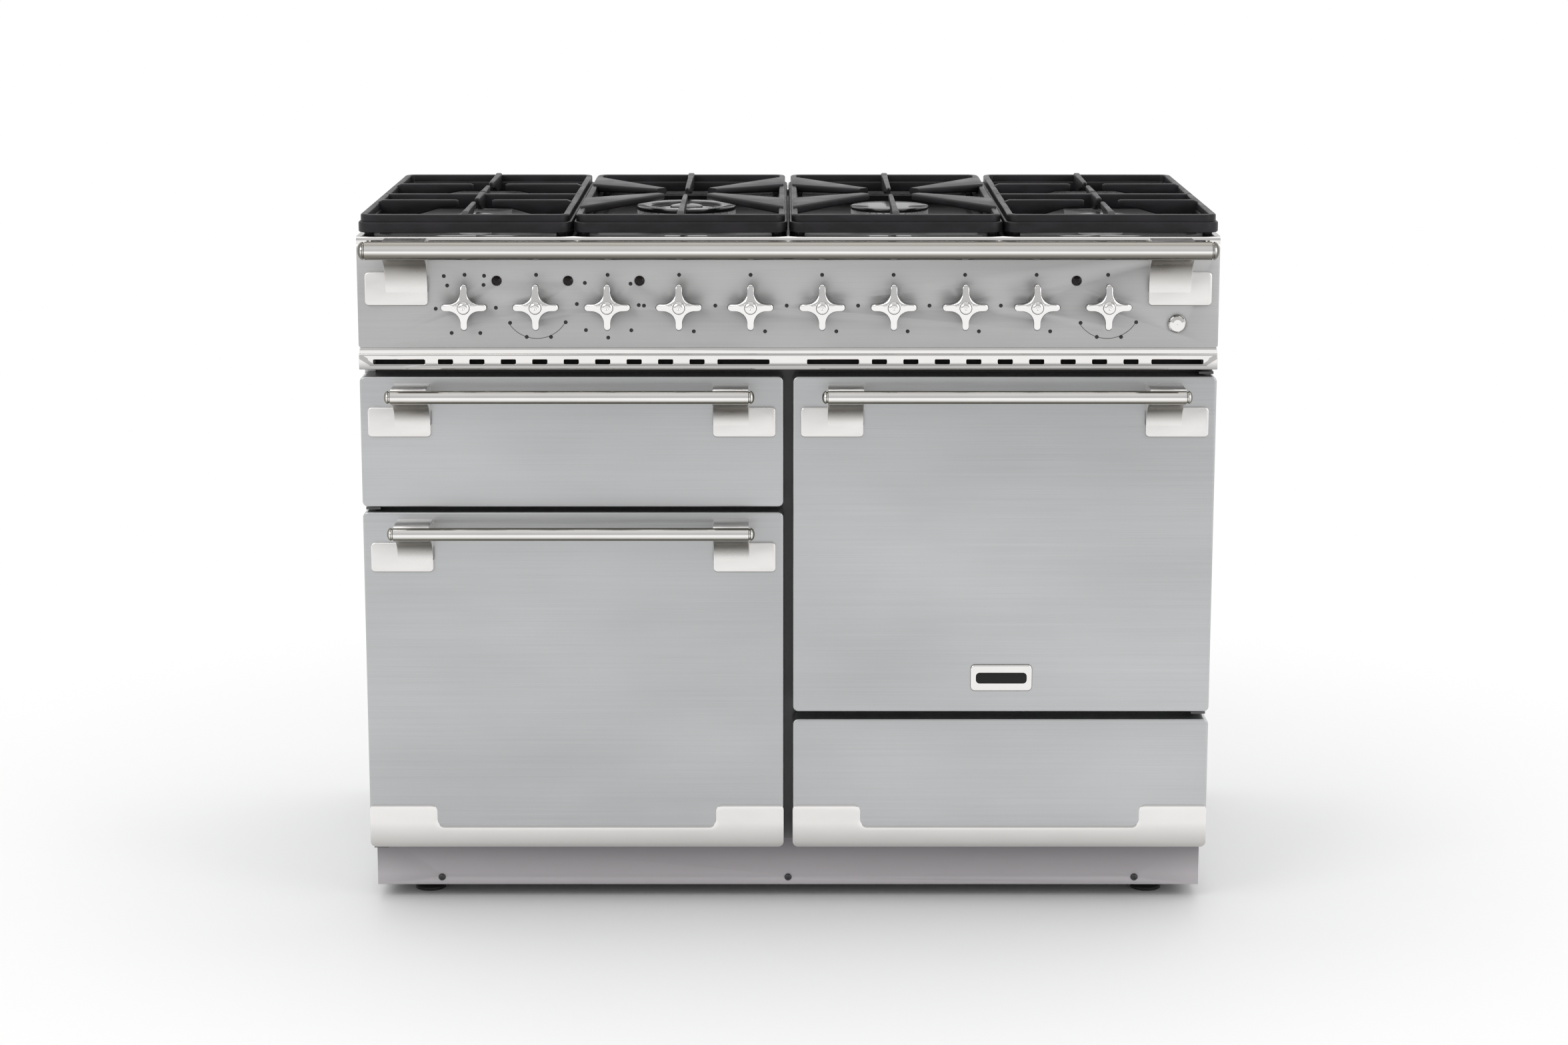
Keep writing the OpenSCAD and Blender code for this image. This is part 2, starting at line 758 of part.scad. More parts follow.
// The supply pipe with six taps, the tubes to the burners and the inlet at the back
module gas_rail() {
    y = front_y + pipe_out;
    x0 = knob_x(gas_first) - pipe_end;
    color("goldenrod") difference() {
        union() {
            rod([x0, y, knob_z], [inlet_x, y, knob_z], pipe_r);
            translate([inlet_x, y, knob_z]) sphere(pipe_r + elbow);
            rod([inlet_x, y, knob_z], [inlet_x, back_y, knob_z], pipe_r);
            rod([inlet_x, back_y - inlet_bore_len - 8, knob_z], [inlet_x, back_y, knob_z],
                inlet_bore_r + 4);
            for (i = [0:gas_count - 1]) {
                on_front(knob_x(gas_first + i), knob_z) translate([0, 0, -tap_len - 1])
                    cylinder(h = tap_len + 1 - sheet, r = tap_r);
                burner_tube(knob_x(gas_first + i), burners[i]);
            }
        }
        rod([inlet_x, back_y - inlet_bore_len, knob_z], [inlet_x, back_y + 1, knob_z], inlet_bore_r);
        for (i = [0:gas_count - 1]) on_front(knob_x(gas_first + i), knob_z)
            translate([0, 0, -plug_back - run_gap]) cylinder(h = plug_back + 4, r = plug_r + shaft_fit);
    }
}

// The tube from a tap up and back to its burner
module burner_tube(x, b) {
    y = front_y + 38;
    rod([x, y, knob_z + tap_r - 3], [x, y, tube_z], tube_r);
    translate([x, y, tube_z]) sphere(tube_r + elbow);
    rod([x, y, tube_z], [b[0], b[1], tube_z], tube_r);
    translate([b[0], b[1], tube_z]) sphere(tube_r + elbow);
    translate([b[0], b[1], tube_z]) cylinder(h = holder_z - tube_z, r = tube_r);
}

// A tap's plug, which turns in the tap and lets the flat-sided spindle slide in it
module tap_plug(i) {
    color("goldenrod") on_front(knob_x(gas_first + i), knob_z) translate([0, 0, -plug_back])
        difference() {
            cylinder(h = plug_back - plug_front, r = plug_r);
            translate([0, 0, 3]) difference() {
                cylinder(h = plug_back, r = spindle_r + shaft_fit);
                translate([-plug_r, spindle_flat + shaft_fit, -1]) cube([2 * plug_r, plug_r, plug_back + 2]);
            }
        }
}

module tap_plug_1() tap_plug(0);

module tap_plug_2() tap_plug(1);

module tap_plug_3() tap_plug(2);

module tap_plug_4() tap_plug(3);

module tap_plug_5() tap_plug(4);

module tap_plug_6() tap_plug(5);

// A knob with four arms whose sides sweep into the hub, and its flat-sided spindle
module knob(i) {
    sweep_c = 20.5;
    sweep_r = 16;
    collar_r = 12.5;
    arm_back = knob_gap + 5;
    flat_end = plug_front - push_travel - 0.5;
    color("gainsboro") on_front(knob_x(i), knob_z) {
        translate([0, 0, knob_gap]) cylinder(h = 6, r = collar_r);
        intersection() {
            translate([0, 0, arm_back]) linear_extrude(knob_depth) {
                difference() {
                    square(2 * sweep_c, center = true);
                    for (x = [-sweep_c, sweep_c], y = [-sweep_c, sweep_c]) translate([x, y])
                        circle(sweep_r);
                }
                for (a = [0, 90]) rotate(a) {
                    square([2 * (knob_r - arm_half), 2 * arm_half], center = true);
                    for (s = [-1, 1]) translate([s * (knob_r - arm_half), 0]) circle(arm_half);
                }
            }
            rotate_extrude() polygon([
                [0, 0], [knob_r + 1, 0], [knob_r + 1, knob_depth - 9], [knob_r - 3, knob_depth - 7.5],
                [collar_r, knob_depth - 5], [9, knob_depth - 4], [0, knob_depth - 4]
            ]);
        }
        rotate_extrude() polygon([
            [0, knob_gap], [8, knob_gap], [8, knob_depth - 2.5], [6.5, knob_depth - 0.8],
            [4, knob_depth], [0, knob_depth]
        ]);
        translate([0, 0, -spindle_len]) difference() {
            cylinder(h = spindle_len + knob_gap + 1, r = spindle_r);
            translate([-spindle_r, spindle_flat, -1])
                cube([2 * spindle_r, spindle_r, spindle_len + 1 - flat_end]);
        }
    }
}

module knob_grill() knob(0);

module knob_left_oven() knob(1);

module knob_left_function() knob(2);

module knob_gas_1() knob(3);

module knob_gas_2() knob(4);

module knob_gas_3() knob(5);

module knob_gas_4() knob(6);

module knob_gas_5() knob(7);

module knob_gas_6() knob(8);

module knob_right_oven() knob(9);

// The thermostats and selectors behind the fascia, and the light switch's housing
module oven_switches() {
    pocket = sheet + button_flange + button_travel + 2 * run_gap;
    stem_hole = button_stem + button_travel + 1;
    color("beige") {
        for (i = electric) on_front(knob_x(i), knob_z) difference() {
            union() {
                translate([0, 0, -sheet - 2]) linear_extrude(2) rounded(-26, 26, -20, 20, 4);
                translate([0, 0, -switch_len]) cylinder(h = switch_len - sheet, r = switch_r);
            }
            translate([0, 0, -spindle_len - run_gap]) cylinder(h = spindle_len, r = spindle_r + shaft_fit);
            translate([0, 0, -sheet - 1.5]) cylinder(h = 3, r = hole_r);
        }
        on_front(button_x, button_z) difference() {
            translate([0, 0, -stem_hole - 6]) cylinder(h = stem_hole + 6 - sheet, r = button_r + 4);
            translate([0, 0, -pocket]) cylinder(h = pocket, r = button_r + 2);
            translate([0, 0, -stem_hole]) cylinder(h = stem_hole, r = spindle_r + shaft_fit);
        }
    }
}

module indicator_lamps() {
    color("darkred") for (x = lamp_x()) on_front(x, knob_z + lamp_rise) rotate_extrude() polygon([
        [0, -14], [lamp_r, -14], [lamp_r, -sheet - 3], [lamp_r + 2, -sheet - 3], [lamp_r + 2, -sheet],
        [lamp_r, -sheet], [lamp_r, 1], [lamp_r * 0.6, 2.2], [0, 2.6]
    ]);
}

// The button: a domed cap, a flange that holds it behind the fascia and a stem
module light_button() {
    back = sheet + run_gap;
    color("gainsboro") on_front(button_x, button_z) rotate_extrude() polygon([
        [0, -button_stem], [spindle_r, -button_stem], [spindle_r, -back - button_flange],
        [button_r + button_flange, -back - button_flange], [button_r + button_flange, -back], [button_r, -back],
        [button_r, 3.5], [button_r - 1.5, 5], [button_r * 0.5, 5.8], [0, 6]
    ]);
}

// ---------- handles ----------

// The cast arm from a face out to a bar: a flat top and a hollow sweep back to the foot
module cast_arm(x0, x1, top, nose_out, nose_low, foot_low) {
    depth = 6;
    sweep = [for (a = [0:15:90]) [
        front_y - nose_out + (nose_out - depth) * sin(a), foot_low + (nose_low - foot_low) * cos(a)
    ]];
    across_x(x0, x1) polygon(concat(
        [[front_y, foot_low], [front_y, top], [front_y - nose_out, top]], sweep
    ));
}

// One end of a door handle; out is -1 for the left end
module handle_end(edge, out, top) {
    bar_z = top - bar_drop;
    boss_r = bar_r + 1.9;
    foot_top = bar_z - 20;
    foot_in = edge - out * foot_inset;
    foot_end = foot_in - out * foot_w;
    arm_in = foot_end + out * bracket_w;
    x0 = min(foot_end, arm_in);
    difference() {
        union() {
            cast_arm(x0, x0 + bracket_w, bar_z + boss_r, bar_out, bar_z - boss_r, foot_top - foot_h * 0.6);
            translate([x0, front_y - bar_out, bar_z]) rotate([0, 90, 0])
                cylinder(h = bracket_w, r = boss_r);
            through_y(front_y - 6, front_y)
                rounded(min(foot_in, foot_end), max(foot_in, foot_end), foot_top - foot_h, foot_top, 5);
        }
        translate([x0 - 1, front_y - bar_out, bar_z]) rotate([0, 90, 0])
            cylinder(h = bracket_w + 2, r = bar_r + socket_fit);
    }
}

// A door handle: two cast ends and a turned bar
module door_handle(x0, x1, top) {
    color("gainsboro") {
        handle_end(x0, -1, top);
        handle_end(x1, 1, top);
        translate([0, front_y - bar_out, top - bar_drop])
            turned_bar(x0 + bar_inset, x1 - bar_inset, bar_r, 2);
    }
}

module left_handle() door_handle(-half_w, -col_in, left_top);

module right_handle() door_handle(col_in, half_w, doors_top);

module grill_handle() door_handle(-half_w, -col_in, doors_top);

// The handrail, which hides the tops of its own brackets
module handrail() {
    rail_z = rim_z - 12.8;
    rail_y = front_y - rail_reach + rail_r;
    foot_top = rim_z - 45;
    color("gainsboro") {
        difference() {
            for (s = [-1, 1]) {
                inner = s * (half_w - foot_inset - foot_w);
                arm = inner + s * 54;
                outer = s * (half_w - foot_inset);
                cast_arm(min(inner, arm), max(inner, arm), rail_z, rail_reach - 9, rim_z - 35,
                    foot_top - foot_h * 0.4);
                through_y(front_y - 6, front_y)
                    rounded(min(inner, outer), max(inner, outer), foot_top - foot_h - 4, foot_top, 5);
            }
            translate([-half_w, rail_y, rail_z]) rotate([0, 90, 0])
                cylinder(h = body_w, r = rail_r + socket_fit);
        }
        translate([0, rail_y, rail_z]) turned_bar(-half_w + 7, half_w - 7, rail_r, 3.5);
    }
}

// ---------- doors, grill front and drawer front ----------

// A pressed stainless skin, open at the back
module front_skin(x0, x1, z0, z1) {
    difference() {
        through_y(front_y, door_back) rounded(x0, x1, z0, z1, front_r);
        through_y(front_y + skin, door_back + 1)
            rounded(x0 + skin, x1 - skin, z0 + skin, z1 - skin, front_r - skin);
    }
}

// A trim along the foot of a front, with raised corners
module foot_trim(x0, x1, z0) {
    strip_h = 28;
    corner_w = 88;
    corner_h = 57;
    r = 9;
    through_y(front_y - 1, front_y + 0.5) intersection() {
        rounded(x0, x1, z0, z0 + corner_h + front_r + 1, front_r);
        union() {
            translate([x0, z0]) square([x1 - x0, strip_h]);
            for (s = [0, 1]) translate([s * (x0 + x1), 0]) mirror([s, 0]) {
                translate([x0, z0]) square([corner_w - r, corner_h]);
                translate([x0, z0]) square([corner_w, corner_h - r]);
                translate([x0 + corner_w - r, z0 + corner_h - r]) circle(r);
                difference() {
                    translate([x0 + corner_w - 1, z0 + strip_h - 1]) square(r + 1);
                    translate([x0 + corner_w + r, z0 + strip_h + r]) circle(r);
                }
            }
        }
    }
}

// The solid corner block that turns on a hinge pin
module hinge_socket(side, z, up) {
    z0 = up > 0 ? z + skin / 2 : z - hinge_block + 4 - skin / 2;
    translate([side * hinge_x - hinge_inset + skin / 2, front_y + skin / 2, z0])
        cube([2 * hinge_inset - skin, 2 * (hinge_back - skin / 2), hinge_block - 4]);
}

module oven_door(x0, x1, z0, z1, side) {
    bore = pin_len + 1;
    difference() {
        union() {
            front_skin(x0, x1, z0, z1);
            intersection() {
                through_y(front_y, door_back) rounded(x0, x1, z0, z1, front_r);
                union() {
                    hinge_socket(side, z0, 1);
                    hinge_socket(side, z1, -1);
                }
            }
        }
        translate([side * hinge_x, hinge_y, z0 - 1]) cylinder(h = bore + 1, r = pin_r + shaft_fit);
        translate([side * hinge_x, hinge_y, z1 - bore]) cylinder(h = bore + 1, r = pin_r + shaft_fit);
    }
}

// The enamelled inner panel, whose pressed middle enters the oven's mouth
module door_liner(x0, x1, z0, z1, cx, cav) {
    edge = skin;
    plug = 8;
    margin = 8;
    color("#3a3d42") difference() {
        union() {
            through_y(door_back - sheet, door_back)
                rounded(x0 + edge, x1 - edge, z0 + edge, z1 - edge, front_r - edge);
            through_y(door_back - sheet, door_back + plug)
                rounded(cx - cav_half + margin, cx + cav_half - margin, cav[0] + margin,
                    cav[1] - margin, 14);
        }
        through_y(door_back - sheet - 1, door_back + plug - sheet)
            rounded(cx - cav_half + margin + sheet, cx + cav_half - margin - sheet,
                cav[0] + margin + sheet, cav[1] - margin - sheet, 14 - sheet);
    }
}

module left_door() {
    color("silver") {
        oven_door(-half_w, -col_in, doors_bot, left_top, -1);
        foot_trim(-half_w, -col_in, doors_bot);
    }
}

module right_door() {
    color("silver") oven_door(col_in, half_w, right_bot, doors_top, 1);
}

module left_door_liner() door_liner(-half_w, -col_in, doors_bot, left_top, -col_x, left_cav);

module right_door_liner() door_liner(col_in, half_w, right_bot, doors_top, col_x, right_cav);

module grill_front() {
    color("silver") front_skin(-half_w, -col_in, grill_bot, doors_top);
}

module drawer_front() {
    color("silver") {
        front_skin(col_in, half_w, doors_bot, drawer_top);
        foot_trim(col_in, half_w, doors_bot);
    }
}

// ---------- grill ----------

module grill_chamber() {
    x0 = -col_x - cav_half;
    x1 = -col_x + cav_half;
    z0 = grill_cav[0];
    z1 = grill_cav[1];
    keeper = grill_rail_z + ledge_t + grill_rail_h + 2 * run_gap;
    color("#3a3d42") {
        difference() {
            union() {
                box(x0 - sheet, x1 + sheet, flange_y, chassis_y + grill_d + sheet, z0 - sheet, z1 + sheet);
                through_y(flange_y, chassis_y)
                    rounded(x0 - flange_w, x1 + flange_w, z0 - 14, z1 + 14, 6);
            }
            box(x0, x1, flange_y - 1, chassis_y + grill_d, z0, z1);
        }
        for (x = [x0 - 0.5, x1 - rail_lip], z = [grill_rail_z, keeper])
            box(x, x + rail_lip + 0.5, chassis_y, chassis_y + grill_rail_len + 12, z, z + ledge_t);
    }
}

// The sliding frame: an inner front, two rails and the cross bars that carry the pan
module grill_carriage() {
    x0 = -col_x - cav_half + run_gap;
    x1 = -col_x + cav_half - run_gap;
    z0 = grill_rail_z + ledge_t + run_gap;
    rail_w = 4;
    rear = chassis_y + grill_rail_len;
    color("gray") {
        through_y(door_back - sheet, door_back)
            rounded(-half_w + skin, -col_in - skin, grill_bot + skin, doors_top - skin, front_r - skin);
        for (x = [x0, x1 - rail_w]) box(x, x + rail_w, door_back - 1, rear, z0, z0 + grill_rail_h - run_gap);
        for (y = [chassis_y + 20, chassis_y + 160, rear - 12]) box(x0, x1, y, y + 12, z0, pan_z);
    }
}

module grill_pan() {
    half = cav_half - 22;
    y0 = chassis_y + 14;
    y1 = chassis_y + grill_rail_len - 4;
    depth = 34;
    rack = pan_z + depth - 8;
    color("#26282c") translate([-col_x, 0, 0]) {
        difference() {
            translate([0, 0, pan_z]) linear_extrude(depth) rounded(-half, half, y0, y1, 18);
            translate([0, 0, pan_z + sheet]) linear_extrude(depth)
                rounded(-half + sheet, half - sheet, y0 + sheet, y1 - sheet, 18 - sheet);
        }
        difference() {
            translate([0, 0, pan_z + depth - sheet]) linear_extrude(sheet)
                rounded(-half - 7, half + 7, y0 - 4, y1 + 3, 22);
            translate([0, 0, pan_z + depth - 3]) linear_extrude(6)
                rounded(-half + sheet, half - sheet, y0 + sheet, y1 - sheet, 18 - sheet);
        }
        for (y = [y0 + 24, y1 - 24]) rod([-half + sheet, y, rack], [half - sheet, y, rack], 3);
        for (i = [-7:7]) rod([i * 24, y0 + 12, rack + 3.5], [i * 24, y1 - 12, rack + 3.5], 2);
    }
}

// ---------- ovens ----------

// A zig-zag heating tube of n passes hanging from the rear wall
module zigzag(cx, n, pitch, y0, y1, z) {
    r = 4;
    for (i = [0:n - 1]) {
        x = cx + (i - (n - 1) / 2) * pitch;
        rear = (i == 0 || i == n - 1) ? y1 : y1 - pitch / 2 - 8;
        rod([x, y0 + pitch / 2, z], [x, rear, z], r);
        if (i < n - 1)
            translate([x + pitch / 2, i % 2 == 0 ? y0 + pitch / 2 : y1 - pitch / 2 - 8, z])
                rotate([0, 0, i % 2 == 0 ? 180 : 0]) rotate_extrude(angle = 180)
                    translate([pitch / 2, 0]) circle(r, $fn = 24);
    }
}

// A ring element round a fan, on two terminals through the rear wall
module ring_element(cx, cav) {
    y = chassis_y + cavity_d + 24;
    rear = chassis_y + cavity_d + fan_d;
    ring_r = fan_r + 24;
    translate([cx, y, (cav[0] + cav[1]) / 2]) {
        rotate([90, 0, 0]) rotate_extrude() translate([ring_r, 0]) circle(4, $fn = 24);
        for (x = [-14, 14]) translate([x, 0, sqrt(ring_r * ring_r - 196)]) rotate([-90, 0, 0])
            cylinder(h = rear - y, r = 4);
    }
}

module heating_elements() {
    color("dimgray") {
        zigzag(-col_x, 6, 60, chassis_y + 40, chassis_y + grill_d, grill_cav[1] - 16);
        zigzag(-col_x, 4, 80, chassis_y + 50, chassis_y + cavity_d, left_cav[1] - 16);
        ring_element(-col_x, left_cav);
        ring_element(col_x, right_cav);
    }
}

// The slotted cover in front of a fan
module fan_cover(cx, cav) {
    mid = (cav[0] + cav[1]) / 2;
    open_r = 58;
    side_slot = cav_half - 30;
    y = chassis_y + cavity_d;
    difference() {
        box(cx - cav_half - 0.5, cx + cav_half + 0.5, y, y + sheet, cav[0] - 0.5, cav[1] + 0.5);
        for (i = [-4:4]) {
            half = sqrt(open_r * open_r - i * i * 144);
            box(cx - half, cx + half, y - 1, y + 3, mid + i * 12 - 3, mid + i * 12 + 3);
        }
        for (s = [-1, 1], k = [-3:3])
            box(cx + s * side_slot - 5, cx + s * side_slot + 5, y - 1, y + 3, mid + k * 40 - 14,
                mid + k * 40 + 14);
    }
}

// An enamelled oven liner with shelf ledges, fan cover and the fan motor on its rear
module oven_liner(cx, cav) {
    x0 = cx - cav_half;
    x1 = cx + cav_half;
    mid = (cav[0] + cav[1]) / 2;
    rear = chassis_y + cavity_d + fan_d;
    motor_r = 32;
    motor_len = 40;
    difference() {
        union() {
            difference() {
                box(x0 - sheet, x1 + sheet, flange_y, rear + sheet, cav[0] - sheet, cav[1] + sheet);
                box(x0, x1, flange_y - 1, rear, cav[0], cav[1]);
            }
            difference() {
                through_y(flange_y, chassis_y)
                    rounded(x0 - flange_w, x1 + flange_w, cav[0] - flange_w, cav[1] + flange_w, 10);
                box(x0, x1, flange_y - 1, chassis_y + 1, cav[0], cav[1]);
            }
            fan_cover(cx, cav);
            for (z = ledge_heights(cav), x = [x0 - 0.5, x1 - ledge_w])
                box(x, x + ledge_w + 0.5, chassis_y + 20, chassis_y + cavity_d - 6, z, z + ledge_t);
            translate([cx, rear, mid]) rotate([-90, 0, 0]) cylinder(h = motor_len, r = motor_r);
        }
        translate([cx, rear - 1, mid]) rotate([-90, 0, 0]) cylinder(h = 32, r = 4 + shaft_fit);
    }
}

function ledge_heights(cav) = [for (i = [1:4]) cav[0] + i * shelf_pitch - 5];

module left_oven_liner() color("#3a3d42") oven_liner(-col_x, left_cav);

module right_oven_liner() color("#3a3d42") oven_liner(col_x, right_cav);

// A wire shelf that rests on a pair of ledges
module wire_shelf(cx, z) {
    rim_r = 3;
    wire_r = 2;
    half = cav_half - 2 - rim_r;
    y0 = chassis_y + 28;
    y1 = chassis_y + cavity_d - 14;
    zz = z + rim_r;
    for (s = [-1, 1]) rod([cx + s * half, y0, zz], [cx + s * half, y1, zz], rim_r);
    for (y = [y0, y1]) {
        rod([cx - half, y, zz], [cx + half, y, zz], rim_r);
        for (s = [-1, 1]) translate([cx + s * half, y, zz]) sphere(rim_r);
    }
    for (i = [-6:6]) rod([cx + i * 31, y0, zz], [cx + i * 31, y1, zz], wire_r);
}

module oven_shelves(cx, cav) {
    color("gainsboro") for (i = [0, 2]) wire_shelf(cx, ledge_heights(cav)[i] + ledge_t);
}

module left_shelves() oven_shelves(-col_x, left_cav);

module right_shelves() oven_shelves(col_x, right_cav);

// A fan impeller: back disc, swept blades, hub and motor shaft
module fan(cx, cav) {
    y = chassis_y + cavity_d + 12;
    rear = chassis_y + cavity_d + fan_d;
    blades = 9;
    width = 20;
    color("silver") translate([cx, y, (cav[0] + cav[1]) / 2]) rotate([-90, 0, 0]) {
        translate([0, 0, width - sheet]) cylinder(h = sheet, r = fan_r);
        cylinder(h = width, r = 12);
        cylinder(h = rear - y + 28, r = 4);
        for (i = [0:blades - 1]) rotate([0, 0, i * 360 / blades]) translate([30, -1, 0]) rotate([0, 0, 24])
            cube([fan_r - 34, 2, width]);
    }
}

module left_fan() fan(-col_x, left_cav);

module right_fan() fan(col_x, right_cav);

// The heat seals on the oven flanges
module oven_seals() {
    inner = 5;
    outer = 15;
    t = flange_y - door_back - run_gap;
    color("black") for (c = [[-col_x, left_cav], [col_x, right_cav]])
        through_y(flange_y - t, flange_y) difference() {
            rounded(c[0] - cav_half - outer, c[0] + cav_half + outer, c[1][0] - outer, c[1][1] + outer, 18);
            rounded(c[0] - cav_half - inner, c[0] + cav_half + inner, c[1][0] - inner, c[1][1] + inner, 8);
        }
}

// ---------- drawer ----------

// The drawer's box, with a lip on each side that runs on a ledge
module drawer_box() {
    x0 = col_x - drawer_w / 2;
    x1 = col_x + drawer_w / 2;
    y0 = door_back - sheet;
    y1 = chassis_y + drawer_d;
    lip_z = runner_z + ledge_t + run_gap;
    color("gray") {
        difference() {
            box(x0, x1, y0, y1, drawer_z0, drawer_z1);
            box(x0 + sheet, x1 - sheet, y0 + sheet, y1 - sheet, drawer_z0 + sheet, drawer_z1 + 1);
        }
        through_y(door_back - sheet, door_back)
            rounded(col_in + skin, half_w - skin, doors_bot + skin, drawer_top - skin, front_r - skin);
        for (x = [x0 - 6, x1 - 1]) box(x, x + 7, chassis_y, y1, lip_z, lip_z + 3);
    }
}

chassis();
side_panel_left();
side_panel_right();
back_panel();
hotplate();
hob_edge();
rear_vent();
fascia();
vent_trim();
handrail();
plinth();
levelling_feet();
terminal_cover();
pan_support_1();
pan_support_2();
pan_support_3();
pan_support_4();
burner_bodies();
burner_caps();
gas_rail();
tap_plug_1();
tap_plug_2();
tap_plug_3();
tap_plug_4();
tap_plug_5();
tap_plug_6();
knob_grill();
knob_left_oven();
knob_left_function();
knob_gas_1();
knob_gas_2();
knob_gas_3();
knob_gas_4();
knob_gas_5();
knob_gas_6();
knob_right_oven();
oven_switches();
indicator_lamps();
light_button();
grill_front();
grill_handle();
grill_chamber();
grill_carriage();
grill_pan();
heating_elements();
left_oven_liner();
left_door();
left_door_liner();
left_handle();
left_shelves();
left_fan();
right_oven_liner();
right_door();
right_door_liner();
right_handle();
right_shelves();
right_fan();
drawer_front();
drawer_box();
oven_seals();
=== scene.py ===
"""Finishes and fine shapes of a wide range cooker with a gas hob, a grill, two ovens and a drawer.

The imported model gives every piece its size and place. This script dresses it: pressed steel
fronts, polished handles and handrail, star-shaped knobs, cast pan supports, burners, dial marks
and the finish of each surface, with a plain pale studio and the photograph's viewing angle.
All shapes are in metres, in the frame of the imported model, with their place in the mesh.
"""

from __future__ import annotations

import json
import logging
import math
from dataclasses import dataclass, field, replace
from enum import Enum

import bmesh
import bpy
import numpy as np
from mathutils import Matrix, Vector

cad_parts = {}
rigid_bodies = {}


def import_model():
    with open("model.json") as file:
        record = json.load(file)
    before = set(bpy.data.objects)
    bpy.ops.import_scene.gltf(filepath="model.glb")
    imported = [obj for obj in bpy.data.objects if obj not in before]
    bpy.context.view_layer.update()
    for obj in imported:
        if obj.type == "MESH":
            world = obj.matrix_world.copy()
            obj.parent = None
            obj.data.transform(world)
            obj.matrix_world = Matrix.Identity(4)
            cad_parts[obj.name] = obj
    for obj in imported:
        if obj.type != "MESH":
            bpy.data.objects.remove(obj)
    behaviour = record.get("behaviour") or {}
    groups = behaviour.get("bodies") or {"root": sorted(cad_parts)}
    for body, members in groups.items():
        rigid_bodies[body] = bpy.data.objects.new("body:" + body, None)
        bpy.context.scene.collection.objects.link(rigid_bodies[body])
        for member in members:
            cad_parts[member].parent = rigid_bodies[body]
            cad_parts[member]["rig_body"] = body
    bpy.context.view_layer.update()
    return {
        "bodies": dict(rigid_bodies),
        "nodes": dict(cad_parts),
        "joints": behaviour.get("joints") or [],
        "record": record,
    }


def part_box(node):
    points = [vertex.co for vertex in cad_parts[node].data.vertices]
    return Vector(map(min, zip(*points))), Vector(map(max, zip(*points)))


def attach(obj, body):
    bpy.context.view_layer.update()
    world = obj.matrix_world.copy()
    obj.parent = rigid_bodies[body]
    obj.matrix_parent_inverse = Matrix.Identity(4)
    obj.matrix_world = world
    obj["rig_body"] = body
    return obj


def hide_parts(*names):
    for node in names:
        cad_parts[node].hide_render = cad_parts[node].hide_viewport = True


LOG = logging.getLogger("range_cooker")
MM = 0.001
Colour = tuple[float, float, float]
Socket = bpy.types.NodeSocket
NOISE_LOW, NOISE_HIGH = 0.3, 0.7  # where nearly all of a noise texture's values lie
GRAIN_ALONG, GRAIN_ACROSS = 5.0, 1300.0  # cells of brushed grain in a metre, both ways
FRONT_BURNER, MIDDLE_BURNER, REAR_BURNER = 165 * MM, 285 * MM, 382 * MM  # behind the doors' face


# ---------------------------------------------------------------- surfaces


class Axis(Enum):
    """The axis along which a flat outline is carried."""

    X = "x"
    Y = "y"
    Z = "z"


def place(outline: np.ndarray, depth: float | np.ndarray, axis: Axis) -> np.ndarray:
    """Puts a flat outline into space.

    Args:
        outline: Points of shape (..., 2): y and z for X, x and z for Y, x and y for Z.
        depth: Their coordinate along the axis.
        axis: The axis that the outline's plane is square to.

    Returns:
        Points of shape (..., 3).
    """
    first, second = outline[..., 0], outline[..., 1]
    along = np.broadcast_to(depth, first.shape)
    order = {
        Axis.X: (along, first, second),
        Axis.Y: (first, along, second),
        Axis.Z: (first, second, along),
    }
    return np.stack(order[axis], axis=-1)


def rounded_outline(
    lo: tuple[float, float], hi: tuple[float, float], radius: float, steps: int = 6
) -> np.ndarray:
    """A rectangle with round corners, anticlockwise: each corner is a quarter circle.

    Args:
        lo: Lowest corner.
        hi: Highest corner.
        radius: Radius of the corners.
        steps: Segments of a corner.

    Returns:
        Points of shape (4 * (steps + 1), 2).
    """
    turn = np.linspace(0, math.pi / 2, steps + 1)
    angle = (np.arange(4)[:, None] * math.pi / 2 + turn).ravel()
    left, right = lo[0] + radius, hi[0] - radius
    foot, head = lo[1] + radius, hi[1] - radius
    centres = np.array([[right, head], [left, head], [left, foot], [right, foot]])
    around = np.stack([np.cos(angle), np.sin(angle)], axis=-1)
    return np.repeat(centres, steps + 1, axis=0) + radius * around


def inset(outline: np.ndarray, distance: float) -> np.ndarray:
    """Moves each point of an anticlockwise outline inwards along its normal.

    Args:
        outline: Points of shape (N, 2).
        distance: How far they move.

    Returns:
        The moved points: the normal is square to the line between a point's neighbours.
    """
    along = np.roll(outline, -1, axis=0) - np.roll(outline, 1, axis=0)
    normal = np.stack([along[:, 1], -along[:, 0]], axis=-1)
    return outline - distance * normal / np.linalg.norm(normal, axis=-1, keepdims=True)


